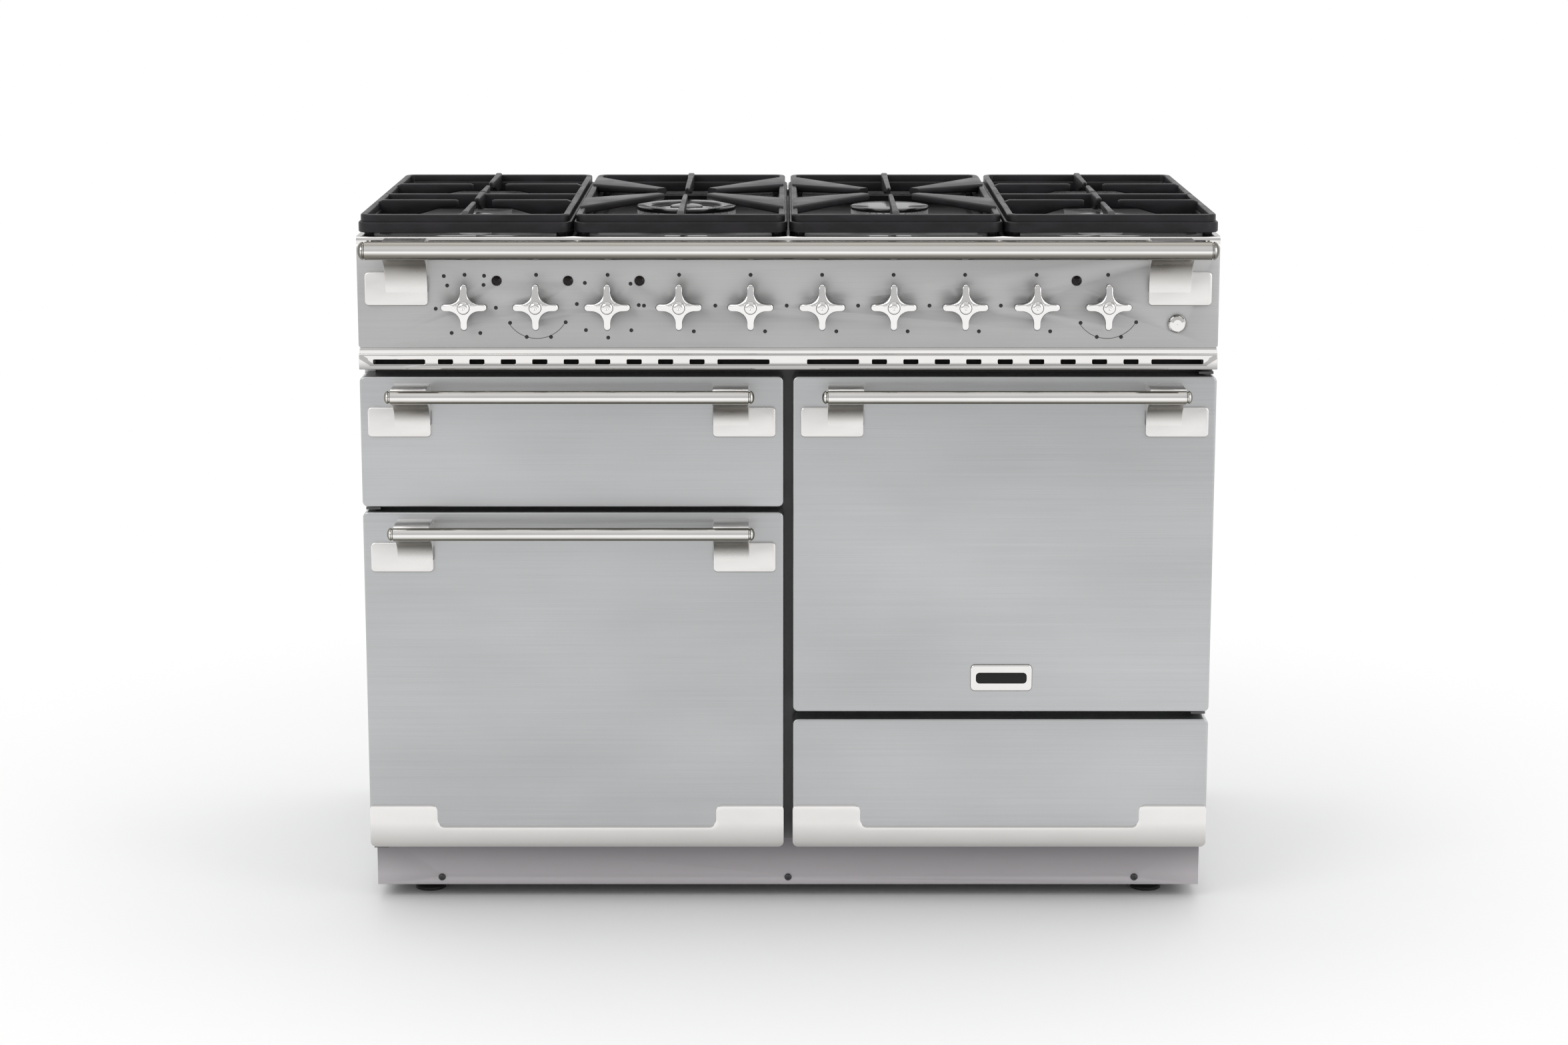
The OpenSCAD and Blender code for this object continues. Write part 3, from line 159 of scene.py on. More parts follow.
class Shell:
    """Closed surfaces gathered into one mesh."""

    def __init__(self) -> None:
        """Starts an empty shell."""
        self.points: list[np.ndarray] = []
        self.faces: list[list[int]] = []
        self.count = 0

    def loft(self, rings: np.ndarray, closed: bool = False, caps: bool = True) -> Shell:
        """Joins a row of closed rings with quads.

        Args:
            rings: Points of shape (rings, points, 3).
            closed: Whether the last ring joins the first.
            caps: Whether the first and the last ring are filled.

        Returns:
            The shell.
        """
        rows, columns = rings.shape[:2]
        index = np.arange(rows * columns).reshape(rows, columns) + self.count
        upper = np.roll(index, -1, axis=0) if closed else index[1:]
        lower = index if closed else index[:-1]
        quads = np.stack(
            [lower, np.roll(lower, -1, axis=1), np.roll(upper, -1, axis=1), upper], axis=-1
        )
        self.faces += quads.reshape(-1, 4).tolist()
        if caps and not closed:
            self.faces += [index[0][::-1].tolist(), index[-1].tolist()]
        self.points.append(rings.reshape(-1, 3))
        self.count += rows * columns
        return self

    def slab(
        self, outline: np.ndarray, depths: tuple[float, float], axis: Axis, edge: float,
        steps: int = 3,
    ) -> Shell:
        """An outline carried straight along an axis, with its two rims rounded.

        A rim's rings follow a quarter circle: the inset falls as one minus the sine of the turn,
        the depth grows as one minus its cosine.

        Args:
            outline: Anticlockwise points of shape (N, 2).
            depths: The two ends along the axis.
            axis: The axis.
            edge: Radius of the rims.
            steps: Segments of a rim.

        Returns:
            The shell.
        """
        turn = np.linspace(0, math.pi / 2, steps + 1)
        insets = edge * (1 - np.sin(turn))
        rises = edge * (1 - np.cos(turn))
        side = 1 if depths[1] > depths[0] else -1
        rim = [(inset(outline, a), side * b) for a, b in zip(insets, rises)]
        first = [place(ring, depths[0] + rise, axis) for ring, rise in rim]
        last = [place(ring, depths[1] - rise, axis) for ring, rise in rim]
        return self.loft(np.stack(first + last[::-1]))

    def lathe(
        self, profile: np.ndarray, centre: tuple[float, float, float], axis: Axis,
        segments: int = 48,
    ) -> Shell:
        """A profile turned about an axis.

        Args:
            profile: Rows of radius and height; it starts and ends at radius zero.
            centre: The point of height zero.
            axis: The axis. A height along Y counts outwards, which is towards -Y.
            segments: Steps round the axis.

        Returns:
            The shell.
        """
        angle = np.linspace(0, 2 * math.pi, segments, endpoint=False)
        flat = profile[:, None, :1] * np.stack([np.cos(angle), np.sin(angle)], axis=-1)[None]
        height = profile[:, 1:] * (-1 if axis is Axis.Y else 1)
        rings = place(flat, np.broadcast_to(height, flat.shape[:2]), axis)
        return self.loft(rings + np.array(centre), caps=False)

    def bar(
        self, left: np.ndarray, right: np.ndarray, low: np.ndarray, high: np.ndarray,
        radius: float, closed: bool = False,
    ) -> Shell:
        """A cast bar between two side lines, with a rounded section.

        At each station the section is a rectangle with round corners, as wide as the two side
        lines are apart and as high as the two heights are.

        Args:
            left: Left side line, of shape (N, 2), in x and y.
            right: Right side line.
            low: Underside at each station.
            high: Top at each station.
            radius: Radius of the section's corners.
            closed: Whether the bar runs round into itself.

        Returns:
            The shell.
        """
        steps, fullest = 3, 0.9  # segments of a corner; its radius as a share of half the section
        across = (right - left) / 2
        half = np.linalg.norm(across, axis=-1)
        tall = (high - low) / 2
        corner = np.minimum(radius, fullest * np.minimum(half, tall))
        section = rounded_outline((-1, -1), (1, 1), 0, steps)
        quarter = np.linspace(0, math.pi / 2, steps + 1)
        turn = (np.arange(4)[:, None] * math.pi / 2 + quarter).ravel()
        sideways = section[:, 0] * (half - corner)[:, None] + corner[:, None] * np.cos(turn)
        upwards = section[:, 1] * (tall - corner)[:, None] + corner[:, None] * np.sin(turn)
        middle = (left + right) / 2
        flat = middle[:, None] + (across / half[:, None])[:, None] * sideways[..., None]
        height = ((low + high) / 2)[:, None] + upwards
        return self.loft(place(flat, height, Axis.Z), closed=closed)

    def build(self, name: str, sharp_degrees: float = 40) -> bpy.types.Object:
        """Makes the mesh object, with its doubles merged and its faces pointing outwards.

        Args:
            name: Name of the object.
            sharp_degrees: Angle above which an edge stays sharp.

        Returns:
            The new object.
        """
        mesh = bpy.data.meshes.new(name)
        mesh.from_pydata(np.concatenate(self.points).tolist(), [], self.faces)
        tidy_mesh(mesh, sharp_degrees)
        return link_object(name, mesh)


def tidy_mesh(mesh: bpy.types.Mesh, sharp_degrees: float, bevel: float = 0) -> None:
    """Merges doubles, turns faces outwards and shades smooth between sharp edges.

    Args:
        mesh: The mesh, changed in place.
        sharp_degrees: Angle above which an edge stays sharp.
        bevel: Width of a rounded edge, or 0 for none.
    """
    merge, flat, turn = 2e-6, math.radians(0.5), math.radians(35)
    work = bmesh.new()
    work.from_mesh(mesh)
    bmesh.ops.remove_doubles(work, verts=work.verts, dist=merge)
    if bevel:
        bmesh.ops.dissolve_limit(work, angle_limit=flat, verts=work.verts, edges=work.edges)
        edges = [e for e in work.edges if e.is_manifold and e.calc_face_angle() > turn]
        bmesh.ops.bevel(
            work, geom=edges, offset=bevel, segments=2, profile=0.5, affect="EDGES",
            clamp_overlap=False,
        )
    bmesh.ops.recalc_face_normals(work, faces=work.faces)
    work.to_mesh(mesh)
    work.free()
    mesh.polygons.foreach_set("use_smooth", np.ones(len(mesh.polygons), bool))
    mesh.set_sharp_from_angle(angle=math.radians(sharp_degrees))


def link_object(name: str, mesh: bpy.types.Mesh) -> bpy.types.Object:
    """Adds a mesh to the scene as an object at the origin.

    Args:
        name: Name of the object.
        mesh: Its mesh.

    Returns:
        The object.
    """
    thing = bpy.data.objects.new(name, mesh)
    bpy.context.scene.collection.objects.link(thing)
    return thing


# ---------------------------------------------------------------- shader nodes


class Tree:
    """A node tree with short calls to add and join nodes."""

    def __init__(self, tree: bpy.types.NodeTree) -> None:
        """Empties the tree."""
        self.tree = tree
        tree.nodes.clear()

    def add(self, kind: str, inputs: dict | None = None, **settings: object) -> bpy.types.Node:
        """Adds a node.

        Args:
            kind: Its type, without the leading ShaderNode.
            inputs: Values or sockets by the name or number of its own sockets.
            **settings: Its other settings.

        Returns:
            The node.
        """
        full = kind if kind.startswith("Node") else "ShaderNode" + kind
        node = self.tree.nodes.new(full)
        for key, value in settings.items():
            setattr(node, key, value)
        for key, value in (inputs or {}).items():
            if isinstance(value, Socket):
                self.tree.links.new(value, node.inputs[key])
            else:
                node.inputs[key].default_value = value
        return node

    def remap(self, value: Socket, lo: float, hi: float) -> Socket:
        """Spreads a noise mask over a range."""
        span = {"From Min": NOISE_LOW, "From Max": NOISE_HIGH, "To Min": lo, "To Max": hi}
        return self.add("MapRange", {"Value": value, **span}).outputs[0]

    def ramp(self, value: Socket, span: tuple[float, float], **settings: object) -> Socket:
        """A mask that goes from zero to one while a value goes through a span."""
        inputs = {"Value": value, "From Min": span[0], "From Max": span[1]}
        return self.add("MapRange", inputs, **settings).outputs[0]

    def maths(self, operation: str, *values: Socket | float) -> Socket:
        """The result of one sum on values or sockets."""
        return self.add("Math", dict(enumerate(values)), operation=operation).outputs[0]

    def mix(self, mask: Socket | float, first: Socket | float, second: Socket | float) -> Socket:
        """Mixes two values by a mask; a Mix node's values are its sockets 2 and 3."""
        return self.add("Mix", {0: mask, 2: first, 3: second}).outputs[0]

    def blend(self, mask: Socket, first: Socket | Colour, second: Colour) -> Socket:
        """Mixes two colours by a mask that changes over the surface.

        A Mix node's colours are its sockets 6 and 7, and the mixed one is its output 2.

        Args:
            mask: Zero gives the first colour, one the second.
            first: The first colour, which may change over the surface itself.
            second: The second colour.

        Returns:
            The mixed colour.
        """
        start = first if isinstance(first, Socket) else (*first, 1)
        node = self.add("Mix", {0: mask, 6: start, 7: (*second, 1)}, data_type="RGBA")
        return node.outputs[2]


def start_group(
    name: str, inputs: dict[str, str], output: str
) -> tuple[Tree, dict[str, Socket], Socket]:
    """Starts a shader node group.

    Args:
        name: Its name.
        inputs: Socket types by name.
        output: Name of its one output, a mask.

    Returns:
        The tree, the input sockets by name and the socket that the mask is joined to.
    """
    group = bpy.data.node_groups.new(name, "ShaderNodeTree")
    for label, kind in inputs.items():
        group.interface.new_socket(name=label, in_out="INPUT", socket_type=kind)
    group.interface.new_socket(name=output, in_out="OUTPUT", socket_type="NodeSocketFloat")
    tree = Tree(group)
    entry = tree.add("NodeGroupInput")
    sockets = {label: entry.outputs[label] for label in inputs}
    return tree, sockets, tree.add("NodeGroupOutput").inputs[output]


def stretched_noise_group() -> bpy.types.NodeTree:
    """The grain of brushed metal: noise on coordinates stretched along the brushing.

    A fine layer and one about six times coarser are added, two parts to one.

    Returns:
        The group.
    """
    coarser, detail = 0.16, 2.0
    tree, sockets, mask = start_group("brushed_grain", {"Stretch": "NodeSocketVector"}, "Grain")
    where = tree.add("TexCoord").outputs["Object"]
    fine = tree.add("VectorMath", {0: where, 1: sockets["Stretch"]}, operation="MULTIPLY")
    coarse = tree.add("VectorMath", {0: fine.outputs[0], "Scale": coarser}, operation="SCALE")
    layers = [
        tree.add("TexNoise", {"Vector": node.outputs[0], "Scale": 1.0, "Detail": detail})
        for node in (fine, coarse)
    ]
    total = tree.maths("MULTIPLY_ADD", layers[0].outputs["Fac"], 2.0, layers[1].outputs["Fac"])
    tree.tree.links.new(tree.maths("DIVIDE", total, 3.0), mask)
    return tree.tree


def cloud_group() -> bpy.types.NodeTree:
    """Soft clouds, turned across the surface, for mottled brightness and uneven polish.

    Returns:
        The group.
    """
    squash, detail = (1.0, 1.0, 2.4), 3.0
    kinds = {"Scale": "NodeSocketFloat", "Lean": "NodeSocketVector"}
    tree, sockets, mask = start_group("soft_clouds", kinds, "Cloud")
    where = tree.add("TexCoord").outputs["Object"]
    turned = tree.add("Mapping", {"Vector": where, "Rotation": sockets["Lean"], "Scale": squash})
    noise = tree.add(
        "TexNoise", {"Vector": turned.outputs[0], "Scale": sockets["Scale"], "Detail": detail}
    )
    tree.tree.links.new(noise.outputs["Fac"], mask)
    return tree.tree


def speck_group() -> bpy.types.NodeTree:
    """Small round specks: where the distance to the nearest random point is short.

    Returns:
        The group.
    """
    kinds = {"Scale": "NodeSocketFloat", "Size": "NodeSocketFloat"}
    tree, sockets, mask = start_group("fine_specks", kinds, "Speck")
    where = tree.add("TexCoord").outputs["Object"]
    cells = tree.add("TexVoronoi", {"Vector": where, "Scale": sockets["Scale"]})
    near = tree.maths("LESS_THAN", cells.outputs["Distance"], sockets["Size"])
    tree.tree.links.new(near, mask)
    return tree.tree


class Effects:
    """The node groups that the finishes share, built once."""

    def __init__(self) -> None:
        """Builds the groups."""
        self.groups = {
            "grain": stretched_noise_group(), "clouds": cloud_group(), "specks": speck_group(),
        }

    def use(self, tree: Tree, name: str, inputs: dict) -> Socket:
        """Places a group in a material.

        Args:
            tree: The material's nodes.
            name: Which group.
            inputs: Its values by name.

        Returns:
            Its output.
        """
        node = tree.add("Group", node_tree=self.groups[name])
        for key, value in inputs.items():
            node.inputs[key].default_value = value
        return node.outputs[0]


# ---------------------------------------------------------------- finishes


class ShadeBy(Enum):
    """What a painted shade follows: the height, or how far the surface looks down."""

    HEIGHT = "height"
    SLOPE = "slope"


@dataclass(frozen=True)
class Finish:
    """What every finish has: two colours that it varies between, and how it shines."""

    colour: Colour
    second: Colour
    roughness: tuple[float, float]
    metallic: float = 0.0
    coat: float = 0.0
    specular: float = 0.5
    bump: float = 0.0
    bump_scale: float = 400.0
    cloud_scale: float = 5.0
    lean: tuple[float, float, float] = (0.0, 0.6, 0.0)
    # The rim colour is a painted shade, laid on where the surface turns away from the eye.
    rim: Colour | None = None
    painted_rim_span: tuple[float, float] = (0.2, 0.7)
    # The shade is a painted shade: darker by height or by slope, standing in for shadow and for
    # darker reflections.
    shade: Colour | None = None
    shade_by: ShadeBy = ShadeBy.SLOPE
    shade_span: tuple[float, float] = (-0.08, -0.75)

    def masks(self, tree: Tree, effects: Effects) -> tuple[Socket, Socket]:
        """The mask that mixes the colours and the one that varies the roughness."""
        cloud = effects.use(tree, "clouds", {"Scale": self.cloud_scale, "Lean": self.lean})
        return cloud, cloud

    def height(self, tree: Tree, effects: Effects) -> Socket:
        """The height that the bump follows: plain noise.

        Args:
            tree: The material's nodes.
            effects: The shared node groups, which a finish with a grain takes it from.

        Returns:
            The height.
        """
        where = tree.add("TexCoord").outputs["Object"]
        noise = tree.add("TexNoise", {"Vector": where, "Scale": self.bump_scale, "Detail": 3.0})
        return noise.outputs["Fac"]

    def build(self, name: str, effects: Effects) -> bpy.types.Material:
        """Makes the material.

        Args:
            name: Name of the material.
            effects: The shared node groups.

        Returns:
            The material, with its uniform values on the shader's own sockets.
        """
        material = bpy.data.materials.new(name)
        material.use_nodes = True
        tree = Tree(material.node_tree)
        colour_mask, shine_mask = self.masks(tree, effects)
        shader = tree.add("BsdfPrincipled", {
            "Metallic": self.metallic, "Coat Weight": self.coat,
            "Specular IOR Level": self.specular,
        })
        links = material.node_tree.links
        colour = tree.blend(tree.remap(colour_mask, 0, 1), self.colour, self.second)
        # The rim and the shade paint shade onto the colour.
        colour = self.with_painted_rim(tree, self.with_painted_shade(tree, self.marked(tree, effects, colour)))
        links.new(colour, shader.inputs["Base Color"])
        links.new(tree.remap(shine_mask, *self.roughness), shader.inputs["Roughness"])
        if self.bump:
            height = self.height(tree, effects)
            bump = tree.add("Bump", {"Strength": 1.0, "Distance": self.bump * MM, "Height": height})
            links.new(bump.outputs["Normal"], shader.inputs["Normal"])
        output = tree.add("OutputMaterial")
        links.new(shader.outputs[0], output.inputs["Surface"])
        return material

    def marked(self, tree: Tree, effects: Effects, colour: Socket) -> Socket:
        """The colour with its small marks; a plain finish has none."""
        return colour

    def with_painted_rim(self, tree: Tree, colour: Socket) -> Socket:
        """The colour, turning to the rim's where the surface curves away from the eye: a painted
        shade that darkens the outlines, standing in for the darker reflections seen at grazing
        angles.

        Args:
            tree: The material's nodes.
            colour: The colour so far.

        Returns:
            The colour with its rim.
        """
        if self.rim is None:
            return colour
        facing = tree.add("LayerWeight", {"Blend": 0.5}).outputs["Facing"]
        return tree.blend(tree.ramp(facing, self.painted_rim_span), colour, self.rim)

    def with_painted_shade(self, tree: Tree, colour: Socket) -> Socket:
        """The colour, turning to the shade's along its span: a painted shade that stands in for
        shadow and for the darker things that polished metal reflects.

        Args:
            tree: The material's nodes.
            colour: The colour so far.

        Returns:
            The colour with its shade.
        """
        if self.shade is None:
            return colour
        if self.shade_by is ShadeBy.HEIGHT:
            where = tree.add("TexCoord").outputs["Object"]
        else:
            where = tree.add("NewGeometry").outputs["Normal"]
        upward = tree.add("SeparateXYZ", {0: where}).outputs["Z"]
        return tree.blend(tree.ramp(upward, self.shade_span), colour, self.shade)


@dataclass(frozen=True)
class BrushedFinish(Finish):
    """Metal brushed along one direction."""

    stretch: tuple[float, float, float] = (GRAIN_ALONG, GRAIN_ACROSS, GRAIN_ACROSS)
    grain_share: float = 0.45

    def masks(self, tree: Tree, effects: Effects) -> tuple[Socket, Socket]:
        """Clouds with some grain for the colour, and grain for the roughness.

        Args:
            tree: The material's nodes.
            effects: The shared node groups.

        Returns:
            The mask that mixes the colours and the one that varies the roughness.
        """
        cloud = effects.use(tree, "clouds", {"Scale": self.cloud_scale, "Lean": self.lean})
        grain = effects.use(tree, "grain", {"Stretch": self.stretch})
        return tree.mix(self.grain_share, cloud, grain), grain

    def height(self, tree: Tree, effects: Effects) -> Socket:
        """The grain itself."""
        return effects.use(tree, "grain", {"Stretch": self.stretch})


@dataclass(frozen=True)
class SpeckledFinish(Finish):
    """Vitreous enamel with fine light specks."""

    speck: Colour = (0.3, 0.31, 0.33)
    speck_scale: float = 260.0
    speck_size: float = 0.16

    def marked(self, tree: Tree, effects: Effects, colour: Socket) -> Socket:
        """The colour with light specks over it."""
        mask = effects.use(tree, "specks", {"Scale": self.speck_scale, "Size": self.speck_size})
        return tree.blend(mask, colour, self.speck)


def grey(level: float, warm: float = 0.0) -> Colour:
    """A grey, with red raised and blue lowered by a warmth."""
    return (level * (1 + warm), level, level * (1 - warm))


def steel(
    level: float, warm: float = -0.012, along_y: bool = False,
    rough: tuple[float, float] = (0.24, 0.36),
) -> BrushedFinish:
    """Brushed stainless steel.

    Args:
        level: Mean brightness.
        warm: Warmth; below zero it is bluish.
        along_y: Whether it is brushed from front to back instead of from side to side.
        rough: Lowest and highest roughness.

    Returns:
        The finish.
    """
    darker, lighter = 0.84, 1.12
    finish = BrushedFinish(
        grey(level * darker, warm), grey(level * lighter, warm), rough, metallic=1.0, bump=0.02,
        cloud_scale=2.2,
    )
    return replace(finish, stretch=(GRAIN_ACROSS, GRAIN_ALONG, GRAIN_ACROSS)) if along_y else finish


def chrome(level: float = 0.82, warm: float = 0.02, painted_rim_level: float = 0.09) -> Finish:
    """Polished chrome, faintly warm, with a slow ripple and a painted shade that darkens it towards
    its outlines.

    Args:
        level: Brightness of its darker colour.
        warm: Warmth.
        painted_rim_level: Brightness at its outlines.

    Returns:
        The finish.
    """
    lighter, rim_warm = 1.05, 0.08
    return Finish(
        grey(level, warm), grey(level * lighter, warm), (0.03, 0.08), metallic=1.0, bump=0.03,
        bump_scale=30.0, cloud_scale=14.0, rim=grey(painted_rim_level, rim_warm),
    )


def enamel(level: float, rough: float = 0.1, second: float = 1.3) -> Finish:
    """Gloss vitreous enamel with the faint ripple of a fired coat.

    Args:
        level: Brightness of its darker colour.
        rough: Lowest roughness.
        second: How much lighter the other colour is.

    Returns:
        The finish.
    """
    rougher = 1.6
    return Finish(
        grey(level), grey(level * second), (rough, rough * rougher), coat=0.4, bump=0.02,
        bump_scale=90.0, cloud_scale=9.0,
    )


def moulded(level: float, warm: float = 0.0, rough: float = 0.45) -> Finish:
    """Moulded plastic or rubber with a fine eroded texture.

    Args:
        level: Brightness of its darker colour.
        warm: Warmth.
        rough: Lowest roughness.

    Returns:
        The finish.
    """
    lighter, rougher = 1.25, 1.3
    return Finish(
        grey(level, warm), grey(level * lighter, warm), (rough, rough * rougher), bump=0.02,
        bump_scale=1500.0, cloud_scale=30.0,
    )


FINISHES: dict[str, Finish] = {
    "chassis_steel": Finish(
        grey(0.10), grey(0.16), (0.4, 0.6), metallic=0.7, bump=0.02, bump_scale=60.0,
    ),
    "back_steel": Finish(
        grey(0.48), grey(0.58), (0.35, 0.5), metallic=0.9, bump=0.01, cloud_scale=40.0,
    ),
    "brushed_steel": steel(0.60, along_y=True),
    "door_steel": steel(0.55, -0.012, rough=(0.3, 0.42)),
    "fascia_steel": steel(0.52, 0.0, rough=(0.42, 0.55)),
    # A painted shadow: the plinth darkens towards its top, where the doors overhang it.
    "plinth_steel": BrushedFinish(
        (0.51, 0.49, 0.505), (0.58, 0.555, 0.575), (0.42, 0.55), metallic=1.0, bump=0.02,
        cloud_scale=3.2, shade=(0.20, 0.19, 0.20), shade_by=ShadeBy.HEIGHT,
        shade_span=(0.035, 0.080),
    ),
    # A painted shade: the castings darken where they look down, standing in for the darker floor
    # that they reflect.
    "cast_chrome_painted_shade": Finish(
        grey(0.80, 0.02), grey(0.86, 0.02), (0.26, 0.34), metallic=1.0, bump=0.02, bump_scale=200.0,
        cloud_scale=20.0, shade=(0.20, 0.19, 0.17),
    ),
    # Each chrome() finish paints a darker shade at its outlines, its rim.
    "polished_chrome": chrome(),
    # Painted shade: the bars and the rail get darker rims and a darker lower half, standing in for
    # the dark bands that they reflect.
    "bar_chrome_painted_shade": replace(
        chrome(0.86), rim=(0.13, 0.12, 0.085), painted_rim_span=(0.06, 0.5), shade=(0.26, 0.25, 0.19),
        shade_span=(-0.35, -0.8),
    ),
    "rail_chrome_painted_shade": replace(
        chrome(0.90), rim=(0.18, 0.17, 0.15), painted_rim_span=(0.04, 0.28), shade=(0.30, 0.285, 0.25),
        shade_span=(-0.05, -0.4),
    ),
    # Painted shade: the vent trim darkens towards its foot.
    "vent_chrome_painted_shade": replace(
        chrome(), shade=grey(0.30, 0.02), shade_by=ShadeBy.HEIGHT, shade_span=(0.728, 0.717),
    ),
    # Painted shade: the foot trims darken towards their foot, standing in for the shadowed floor
    # that they reflect.
    "trim_chrome_painted_shade": replace(
        chrome(), shade=grey(0.50, 0.03), shade_by=ShadeBy.HEIGHT, shade_span=(0.119, 0.089),
    ),
    "knob_chrome": chrome(0.86, 0.01, 0.03),
    "shelf_chrome": chrome(0.72, 0.0),
    "cast_iron": Finish(
        grey(0.008, 0.02), (0.018, 0.016, 0.020), (0.34, 0.50), specular=0.3, bump=0.12,
        bump_scale=700.0, cloud_scale=22.0,
    ),
    "black_enamel": Finish(
        grey(0.004), grey(0.007), (0.26, 0.36), specular=0.3, bump=0.02, bump_scale=90.0,
    ),
    "cap_enamel": enamel(0.012, 0.22),
    "oven_enamel": SpeckledFinish(
        (0.030, 0.033, 0.040), (0.042, 0.045, 0.053), (0.14, 0.24), coat=0.3, bump=0.02,
        bump_scale=80.0,
    ),
    "pan_enamel": SpeckledFinish(
        grey(0.012), grey(0.018), (0.12, 0.2), coat=0.4, bump=0.02, bump_scale=80.0,
        speck=grey(0.2),
    ),
    "burner_aluminium": Finish(
        grey(0.82), grey(0.92), (0.25, 0.42), metallic=0.35, bump=0.04, bump_scale=900.0,
    ),
    "brass_fittings": Finish(
        (0.60, 0.44, 0.20), (0.70, 0.54, 0.28), (0.2, 0.35), metallic=1.0, bump=0.02,
        bump_scale=300.0,
    ),
    "switch_plastic": moulded(0.62, 0.12),
    "lamp_lens": Finish((0.004, 0.002, 0.002), (0.006, 0.002, 0.002), (0.2, 0.3), specular=0.3),
    "black_nylon": moulded(0.018),
    "carriage_steel": enamel(0.22, 0.25, 1.15),
    "drawer_steel": moulded(0.09, rough=0.3),
    "element_steel": Finish(
        grey(0.10, 0.04), grey(0.17, 0.02), (0.35, 0.55), metallic=0.8, bump=0.05, bump_scale=600.0,
        cloud_scale=25.0,
    ),
    "fan_steel": steel(0.5),
    "seal_rubber": moulded(0.022, rough=0.55),
    "dial_print": moulded(0.010, rough=0.35),
    "screw_black": enamel(0.02, 0.3),
    "badge_black": Finish(grey(0.004), grey(0.006), (0.25, 0.35), specular=0.3),
}


class Wardrobe:
    """Makes each finish once and dresses the pieces."""

    def __init__(self, frame: dict) -> None:
        """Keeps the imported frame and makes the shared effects.
        """
        self.frame = frame
        self.effects = Effects()
        self.made: dict[str, bpy.types.Material] = {}
        self.slots = {part["node"]: part["material_slot"] for part in frame["record"]["subparts"]}

    def material(self, name: str) -> bpy.types.Material:
        """The material of a finish, made when it is first asked for.

        Args:
            name: Name of the finish.

        Returns:
            The material.
        """
        if name not in self.made:
            self.made[name] = FINISHES[name].build(name, self.effects)
        return self.made[name]

    def dress_nodes(self) -> None:
        """Gives every carried-over node the finish of its slot."""
        for node, thing in self.frame["nodes"].items():
            material = self.material(self.slots[node])
            for slot in thing.material_slots:
                slot.material = material

    def dress(
        self, thing: bpy.types.Object, finish: str, body: str, replaces: tuple[str, ...] = (),
        slot: str | None = None,
    ) -> bpy.types.Object:
        """Finishes a new piece and ties it to the frame.

        Args:
            thing: The piece.
            finish: Name of its finish.
            body: The body that it rides on.
            replaces: The nodes that it stands for.
            slot: The record's slot of the piece, if that has another name; it is not used.

        Returns:
            The piece.
        """
        thing.data.materials.clear()
        thing.data.materials.append(self.material(finish))
        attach(thing, body)
        if replaces:
            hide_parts(*replaces)
        LOG.info("piece %s: %d faces on %s", thing.name, len(thing.data.polygons), body)
        return thing


# ---------------------------------------------------------------- fronts


@dataclass
class PressedFront:
    """A stainless front pressed from one sheet, open at the back."""

    node: str
    body: str
    lo: Vector
    hi: Vector
    corner: float = 7 * MM
    least_corner: float = 0.3 * MM
    corner_steps: int = 8
    fold: float = 2.2 * MM
    fold_rings: int = 6
    wall: float = 1.2 * MM

    def outline(self, margin: float) -> np.ndarray:
        """The front's outline, drawn in by a margin.

        Args:
            margin: How far it is drawn in.

        Returns:
            The outline in x and z.
        """
        lo = (self.lo.x + margin, self.lo.z + margin)
        hi = (self.hi.x - margin, self.hi.z - margin)
        corner = max(self.corner - margin, self.least_corner)
        return rounded_outline(lo, hi, corner, self.corner_steps)

    def build(self, wardrobe: Wardrobe) -> bpy.types.Object:
        """Makes the skin.

        The rings run from the face round the folded edge, back along the side, over the rim and
        forward again inside.

        Args:
            wardrobe: The finishes.

        Returns:
            The piece.
        """
        front, back = self.lo.y, self.hi.y
        fold = []
        for turn in np.linspace(0, math.pi / 2, self.fold_rings):
            ring = self.outline(self.fold * (1 - math.sin(turn)))
            fold.append(place(ring, front + self.fold * (1 - math.cos(turn)), Axis.Y))
        rim = [
            place(self.outline(0), back, Axis.Y),
            place(self.outline(self.wall), back, Axis.Y),
            place(self.outline(self.wall), front + self.fold, Axis.Y),
            place(self.outline(self.fold), front + self.wall, Axis.Y),
        ]
        thing = Shell().loft(np.stack(fold + rim)).build(self.node + "_skin")
        return wardrobe.dress(thing, "door_steel", self.body, (self.node,))


